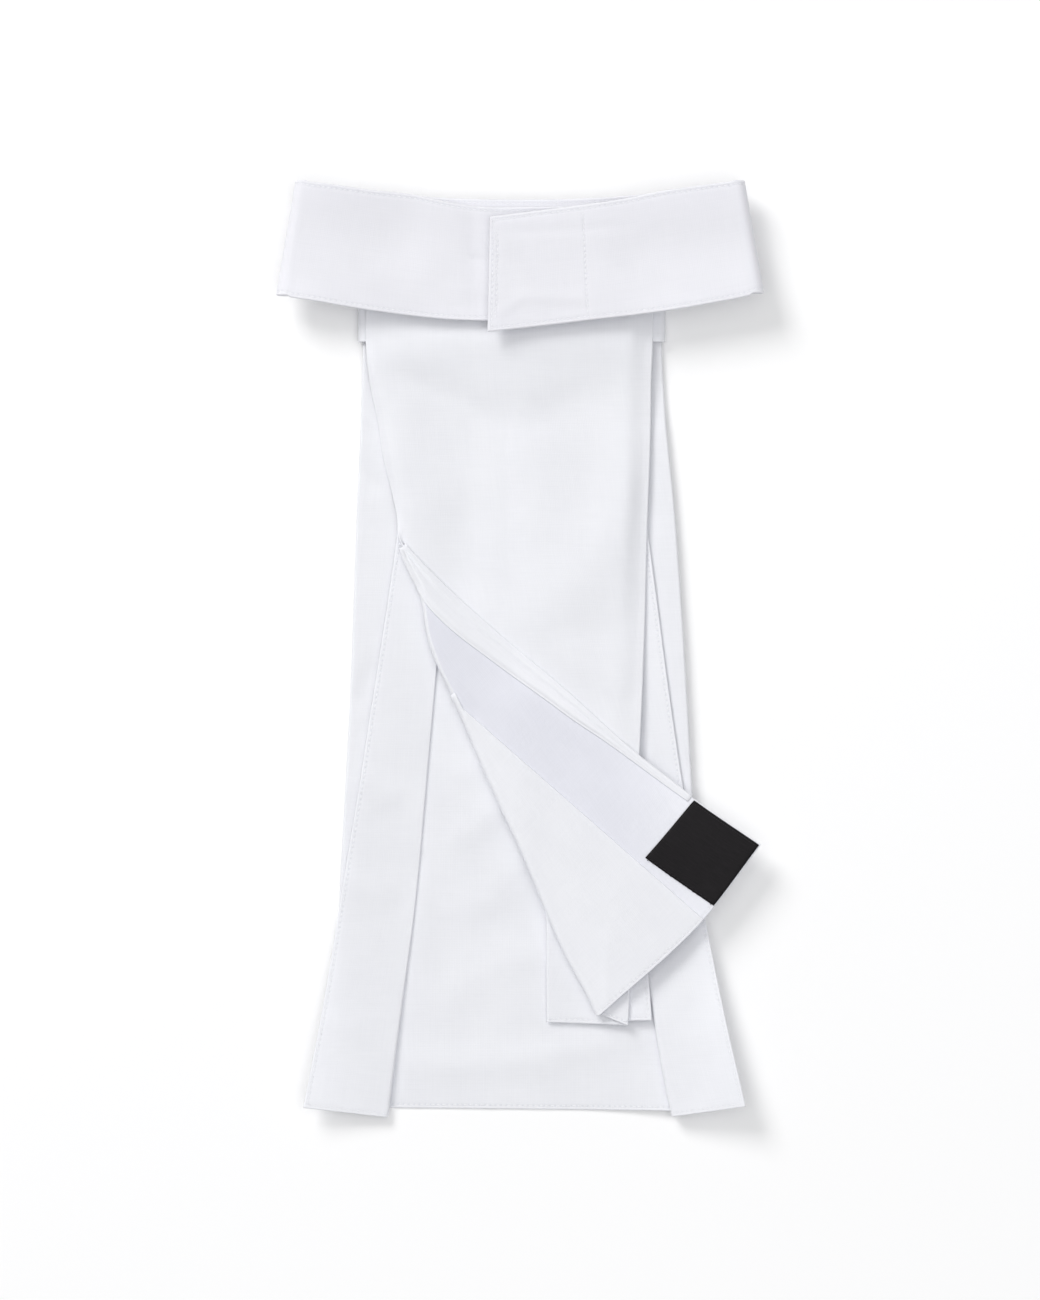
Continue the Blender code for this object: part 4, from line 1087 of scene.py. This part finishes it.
def speckled(name, shader_values, colours, scale, detail, **relief):
    """A material whose colour changes in fine specks, with relief if its distance and strength are given."""
    material, tree, shader = new_material(name, shader_values)
    specks = noise(tree, add(tree, "ShaderNodeTexCoord").outputs["Object"], scale, detail)
    finish_shader(tree, shader, ramp(tree, specks, colours), specks if relief else None, **relief)
    return material


POPLIN_THREAD = 0.7 * MM  # the threads are 0.25 mm apart; they are drawn further apart so that they show
HOLE_RADIUS = 0.45 * MM
HOLE_DEPTH = 0.07 * MM
# Painted shade in the needle holes: its share and its colour.
HOLE_SHADE = 0.18
HOLE_PAINTED_SHADE_TINT = "#B9BCCB"
# Colour of the painted shade on the turned corner.
PAINTED_SHADE_TINT = "#F5F5F9"
STREAK_SHARE = 0.45  # of the cotton's uneven colour; the rest is cloudy
# White cotton lets some light through, which softens the shadows where one cloth lies on another.
LIGHT_THROUGH = {"Subsurface Weight": 0.40, "Subsurface Radius": (1.0, 1.0, 1.0), "Subsurface Scale": 1.0 * MM}


def poplin_material():
    # Woven cotton poplin, bleached and pressed: a close plain weave, near matt, with a faint cool brightener.
    values = {"Roughness": 0.80, "Sheen Weight": 0.15, "Sheen Roughness": 0.45, "IOR": 1.46, "Specular IOR Level": 0.25}
    return cotton("cotton_poplin", values | LIGHT_THROUGH, ("#EBECF1", "#F2F3F8"), 0.014 * MM, 0.016 * MM)


def stiff_poplin_material():
    # The same poplin fused to a stiff interlining, which holds it smooth and gives it a slightly firmer gleam. Its
    # colours are painted a shade darker than the poplin's, as painted shade on the raised band.
    values = {"Roughness": 0.72, "Sheen Weight": 0.12, "Sheen Roughness": 0.40, "IOR": 1.46, "Specular IOR Level": 0.30}
    return cotton("stiffened_cotton_poplin", values | LIGHT_THROUGH, ("#E6E6EB", "#ECECF1"), 0.012 * MM, 0.012 * MM)


def thread_material():
    # Spun polyester sewing thread, white and slightly glossy, uneven with its twist.
    values = {"Roughness": 0.55, "Sheen Weight": 0.1, "IOR": 1.5}
    return speckled("white_sewing_thread", values, ("#EFF0F5", "#FBFBFD"), 3200.0, 1.0)


def black_thread_material():
    # Black polyester overlock thread, dull.
    return new_material("black_sewing_thread", {"Base Color": linear("#1A181B"), "Roughness": 0.6, "IOR": 1.5})[0]


def nylon_material():
    # White nylon tape: a woven ground with monofilament loops or hooks, slightly glossy.
    values = {"Roughness": 0.42, "IOR": 1.53, "Specular IOR Level": 0.4, "Sheen Weight": 0.05}
    return speckled("white_nylon_tape", values, ("#E1E3E8", "#F3F4F7"), 1400.0, 2.0, distance=0.1 * MM, strength=0.6)


def label_material():
    # Damask label woven as a satin in black polyester: deep black, soft gleam across fine ribs 0.6 mm apart.
    values = {"Roughness": 0.62, "Sheen Weight": 0.02, "Sheen Roughness": 0.35, "IOR": 1.5, "Specular IOR Level": 0.18}
    material, tree, shader = new_material("satin_woven_label", values)
    flat = add(tree, "ShaderNodeUVMap", {"uv_map": "flat_cloth"}).outputs["UV"]
    weave = plain_weave(tree, flat, 0.6 * MM)
    streaks = slubs(tree, flat, 6 * MM, 0.4 * MM, True, 5.0)
    colour = ramp(tree, maths(tree, "MULTIPLY_ADD", weave, 0.25, streaks), ("#0F0D0F", "#1A171A"), 0.3, 0.9)
    height = maths(tree, "MULTIPLY_ADD", weave, 0.05, maths(tree, "MULTIPLY", streaks, 0.05))
    finish_shader(tree, shader, colour, height)
    return material


# Stitches.
STITCH_SIZES = {"Pitch": STITCH_PITCH, "Length": 1.55 * MM, "Thread": 0.17 * MM}
LABEL_STITCH_SIZES = {"Pitch": 1.1 * MM, "Length": 0.9 * MM, "Thread": 0.12 * MM}
PILE_SIZES = {"Pitch": 1.4 * MM, "Length": 0.9 * MM, "Thread": 0.09 * MM}


def stitch_tree(name, thread):
    """Lays a short arched length of thread at every pitch along each line, square to the cloth."""
    tree = bpy.data.node_groups.new(name, "GeometryNodeTree")
    tree.interface.new_socket("Geometry", in_out="INPUT", socket_type="NodeSocketGeometry")
    for label, value in STITCH_SIZES.items():
        tree.interface.new_socket(label, in_out="INPUT", socket_type="NodeSocketFloat").default_value = value
    tree.interface.new_socket("Geometry", in_out="OUTPUT", socket_type="NodeSocketGeometry")

    def node(kind, settings=None, output=0, **links):
        """The output of a new node; its inputs are named here with _ for each space."""
        links = {label.replace("_", " "): value for label, value in links.items()}
        return add(tree, kind, settings, links).outputs[output]

    given = tree.nodes.new("NodeGroupInput").outputs
    sunk = maths(tree, "MULTIPLY", given["Thread"], -1.2)
    crown = maths(tree, "MULTIPLY", given["Thread"], 1.5)
    ends = [maths(tree, "MULTIPLY", given["Length"], k) for k in (-0.5, 0.5)]
    first, last = (node("ShaderNodeCombineXYZ", X=end, Z=sunk) for end in ends)
    middle = node("ShaderNodeCombineXYZ", Z=crown)
    arch = node("GeometryNodeCurveQuadraticBezier", Resolution=5, Start=first, Middle=middle, End=last)
    ring = node("GeometryNodeCurvePrimitiveCircle", Resolution=6, Radius=given["Thread"])
    stitch = node("GeometryNodeCurveToMesh", Curve=arch, Profile_Curve=ring, Fill_Caps=True)
    line = node("GeometryNodeMeshToCurve", Mesh=given["Geometry"])
    spaced = node("GeometryNodeResampleCurve", {"mode": "LENGTH"}, Curve=line, Length=given["Pitch"])
    out = node("GeometryNodeInputNamedAttribute", {"data_type": "FLOAT_VECTOR"}, "Attribute", Name="cloth_out")
    along = node("FunctionNodeAlignRotationToVector", {"axis": "X"}, Vector=node("GeometryNodeInputTangent"))
    upright = {"axis": "Z", "pivot_axis": "X"}
    upright = node("FunctionNodeAlignRotationToVector", upright, Rotation=along, Vector=out)
    laid = node("GeometryNodeInstanceOnPoints", Points=spaced, Instance=stitch, Rotation=upright)
    whole = node("GeometryNodeRealizeInstances", Geometry=laid)
    finished = node("GeometryNodeSetMaterial", Geometry=whole, Material=thread)
    tree.links.new(finished, tree.nodes.new("NodeGroupOutput").inputs[0])
    return tree


def stitches(name, cloths, tree, sides=(1, -1), **sizes):
    """One piece with the stitches of these cloths' seams, on both faces of the cloth or on one."""
    vertices, edges, outs = [], [], []
    for cloth in cloths:
        sunk = cloth.wall / 2 * (1 - SEAM_DRAW)
        for line, out, _ in cloth.seams:
            for side in sides:
                first = len(vertices)
                vertices += (line + out * side * sunk).tolist()
                outs += (out * side).tolist()
                edges += [(k, k + 1) for k in range(first, len(vertices) - 1)]
    mesh = bpy.data.meshes.new(name)
    mesh.from_pydata(vertices, edges, [])
    mesh.attributes.new("cloth_out", "FLOAT_VECTOR", "POINT").data.foreach_set("vector", np.float32(outs).ravel())
    obj = link(bpy.data.objects.new(name, mesh))
    modifier = obj.modifiers.new("stitches", "NODES")
    modifier.node_group = tree
    for item in tree.interface.items_tree:
        if item.in_out == "INPUT" and item.name in sizes:
            modifier[item.identifier] = sizes[item.name]
    plain = bpy.data.meshes.new_from_object(obj.evaluated_get(bpy.context.evaluated_depsgraph_get()))
    obj.modifiers.clear()
    obj.data = plain
    plain.name = name
    return obj


# The tie.
def build_tie():
    poplin = poplin_material()
    stiff = stiff_poplin_material()
    satin = label_material()
    tree = stitch_tree("stitch_row", thread_material())
    black_tree = stitch_tree("black_stitch_row", black_thread_material())
    nylon = nylon_material()
    nylon_tree = stitch_tree("nylon_pile", nylon)

    rear = Cloth("poplin_rear_tail", risen(rear_tail_points()), POPLIN)
    hem_row, sides = rear.beside_edges()
    rear.add_columns(sides, (0, hem_row))
    rear.add_seam((hem_row, hem_row), sides)

    points, left_count = front_tail_points()
    front = Cloth("poplin_front_tail", risen(points), POPLIN)
    hem_row, sides = front.beside_edges()
    front.add_seam((hem_row, hem_row), sides)
    front.add_columns(sides[1:], (0, hem_row))
    turned = slice(left_count - ROLL_STEPS)
    # Painted shade on the turned corner, lighter towards its tip.
    painted_shade = ease(*PAINTED_SHADE_Y, front.points[:, left_count // 2, 1])[:, None]
    front.unshaded_share[:, turned] = 1 - painted_shade * (1 - 0.6 * ease(*PAINTED_SHADE_FADE_X, front.points[:, turned, 0]))

    facing = Cloth("poplin_facing", risen(facing_points()), POPLIN)
    facing.add_seam((facing.beside_edges()[0],) * 2, (1, facing.columns - 2))

    rolled = Cloth("poplin_rolled_edge", risen(rolled_edge_points()), POPLIN)
    sleeve = Cloth("poplin_keeper_sleeve", sleeve_points(), POPLIN, closed=True)
    label = Cloth("black_woven_label", risen(label_points()), LABEL_CLOTH)
    label_rows = (0.4, label.rows - 1.4)
    label.add_seam(label_rows, (0.4, 0.4), zigzag=LABEL_ZIGZAG)
    label.add_columns((label.columns - 1.8,), label_rows)
    loops = Cloth("woven_loop_tape", tape_points(LOOP_TAPE_Z - BAND_SAG - (FRAME_TAPE - TAPE_BASE) / 2), TAPE_BASE)
    hooks = Cloth("woven_hook_tape", tape_points(HOOK_TAPE_Z - BAND_SAG + (FRAME_TAPE - TAPE_BASE) / 2), TAPE_BASE)
    for tape in (loops, hooks):
        for j in np.arange(1.5, tape.columns - 2, 1.5):
            tape.add_seam((1, tape.rows - 2), (j, j), pitch=PILE_SIZES["Pitch"])

    points, tape_seam = neck_band_points()
    band = Cloth("stiffened_neck_band", points, STIFF_POPLIN)
    low_seam, high_seam = band.beside_edges()[1]
    band.add_columns((low_seam, high_seam), (0, band.rows - 1))
    band.add_seam((band.rows - 4,) * 2, (low_seam, high_seam))
    band.add_seam((band.rows - 8,) * 2, (low_seam + 4, high_seam - 4), zigzag=TAPE_ZIGZAG)
    band.add_seam((tape_seam, tape_seam), (low_seam + 2, high_seam - 2))

    cloths = (rear, front, facing, rolled, sleeve, band)
    shells = {cloth.name: cloth.shell(stiff if cloth is band else poplin) for cloth in cloths}
    shells[label.name] = label.shell(satin)
    shells["thread_stitches"] = stitches("thread_stitches", [c for c in cloths if c.seams], tree)
    shells["black_label_stitches"] = stitches("black_label_stitches", [label], black_tree, (1,), **LABEL_STITCH_SIZES)
    for tape in (loops, hooks):
        shells[tape.name] = tape.shell(nylon)
    for name, tape, side in (("brushed_nylon_loops", loops, 1), ("nylon_hooks", hooks, -1)):
        shells[name] = stitches(name, [tape], nylon_tree, (side,), **PILE_SIZES)
    return shells


# Studio.
# Name, place, diameter in metres, watts and colour of each light.
LIGHTS = (
    ("window_light", (-1.6, 2.1, 2.1), 1.5, 59.5, (1.0, 0.995, 0.99)),
    ("ceiling_softbox", (0.0, 0.0, 3.3), 4.0, 46.0, (1.0, 1.0, 1.0)),
    ("fill_light", (0.9, -0.6, 1.8), 2.2, 5.5, (0.97, 0.98, 1.0)),
)
SKY_COLOUR = (0.98, 0.985, 1.0, 1.0)
SKY_STRENGTH = 0.32
FLOOR_HALF = 4.0


def light(name, place, size, power, colour):
    """A round light that faces the origin."""
    data = bpy.data.lights.new(name, "AREA")
    data.shape = "DISK"
    data.size = size
    data.energy = power
    data.color = colour
    obj = link(bpy.data.objects.new(name, data))
    x, y, z = obj.location = place
    obj.rotation_euler = (math.atan2(math.hypot(x, y), z), 0.0, math.atan2(x, -y))


def studio():
    mesh = bpy.data.meshes.new("floor")
    corners = [(x * FLOOR_HALF, y * FLOOR_HALF, 0) for x, y in ((-1, -1), (1, -1), (1, 1), (-1, 1))]
    mesh.from_pydata(corners, [], [(0, 1, 2, 3)])
    paper = {"Base Color": linear("#FEFEFE"), "Roughness": 0.9, "Specular IOR Level": 0.1}
    mesh.materials.append(new_material("white_backdrop_paper", paper)[0])
    floor = link(bpy.data.objects.new("floor", mesh))
    for row in LIGHTS:
        light(*row)
    scene = bpy.context.scene
    scene.world = bpy.data.worlds.new("studio")
    scene.world.use_nodes = True
    sky = scene.world.node_tree.nodes["Background"]
    sky.inputs["Color"].default_value = SKY_COLOUR
    sky.inputs["Strength"].default_value = SKY_STRENGTH
    scene.view_settings.view_transform = "Standard"
    camera = bpy.data.cameras.new("camera")
    camera.sensor_width = SENSOR
    camera.lens = SENSOR * CAMERA_HEIGHT / (PHOTO_HEIGHT * PIXEL)
    camera.clip_end = 20.0
    scene.camera = link(bpy.data.objects.new("camera", camera))
    scene.camera.location = (0.0, 0.0, CAMERA_HEIGHT)


# Each cloth: the frame's node that it stands for, its finish, the width, length and area that it was cut to,
# in metres, how it is held and what it lies on. The stiffened band was cut with its interlining as one sheet.
CLOTH_ROWS = (
    ("poplin_rear_tail", "rear_tail", "cotton_poplin", 0.280, 0.352, 0.0930, "folded", ["poplin_keeper_sleeve"]),
    ("poplin_front_tail", "front_tail", "cotton_poplin", 0.187, 0.317, 0.0560, "folded", ["poplin_rear_tail"]),
    ("poplin_facing", "front_tail_facing", "cotton_poplin", 0.060, 0.143, 0.0042, "laid", ["poplin_front_tail"]),
    ("poplin_rolled_edge", "front_tail_rolled_edge", "cotton_poplin", 0.0124, 0.159, 0.0013, "folded",
     ["poplin_front_tail"]),
    ("poplin_keeper_sleeve", "keeper_sleeve", "cotton_poplin", 0.255, 0.032, 0.0081, "folded", ["poplin_rear_tail"]),
    ("stiffened_neck_band", "neck_band", "stiffened_cotton", 0.048, 0.440, 0.0204, "folded", ["poplin_front_tail"]),
    ("black_woven_label", "woven_label", "woven_label", 0.0305, 0.0325, 0.00099, "laid", ["poplin_front_tail"]),
    ("woven_loop_tape", "loop_tape", "closure_loops", 0.039, 0.033, 0.00128, "laid", ["stiffened_neck_band"]),
    ("woven_hook_tape", "hook_tape", "closure_hooks", 0.039, 0.033, 0.00128, "laid", ["stiffened_neck_band"]),
)

shells = build_tie()
for piece, node, slot, width, length, area, held, rests_on in CLOTH_ROWS:
    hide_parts(node)
for piece in shells.values():
    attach(piece, "root")
studio()
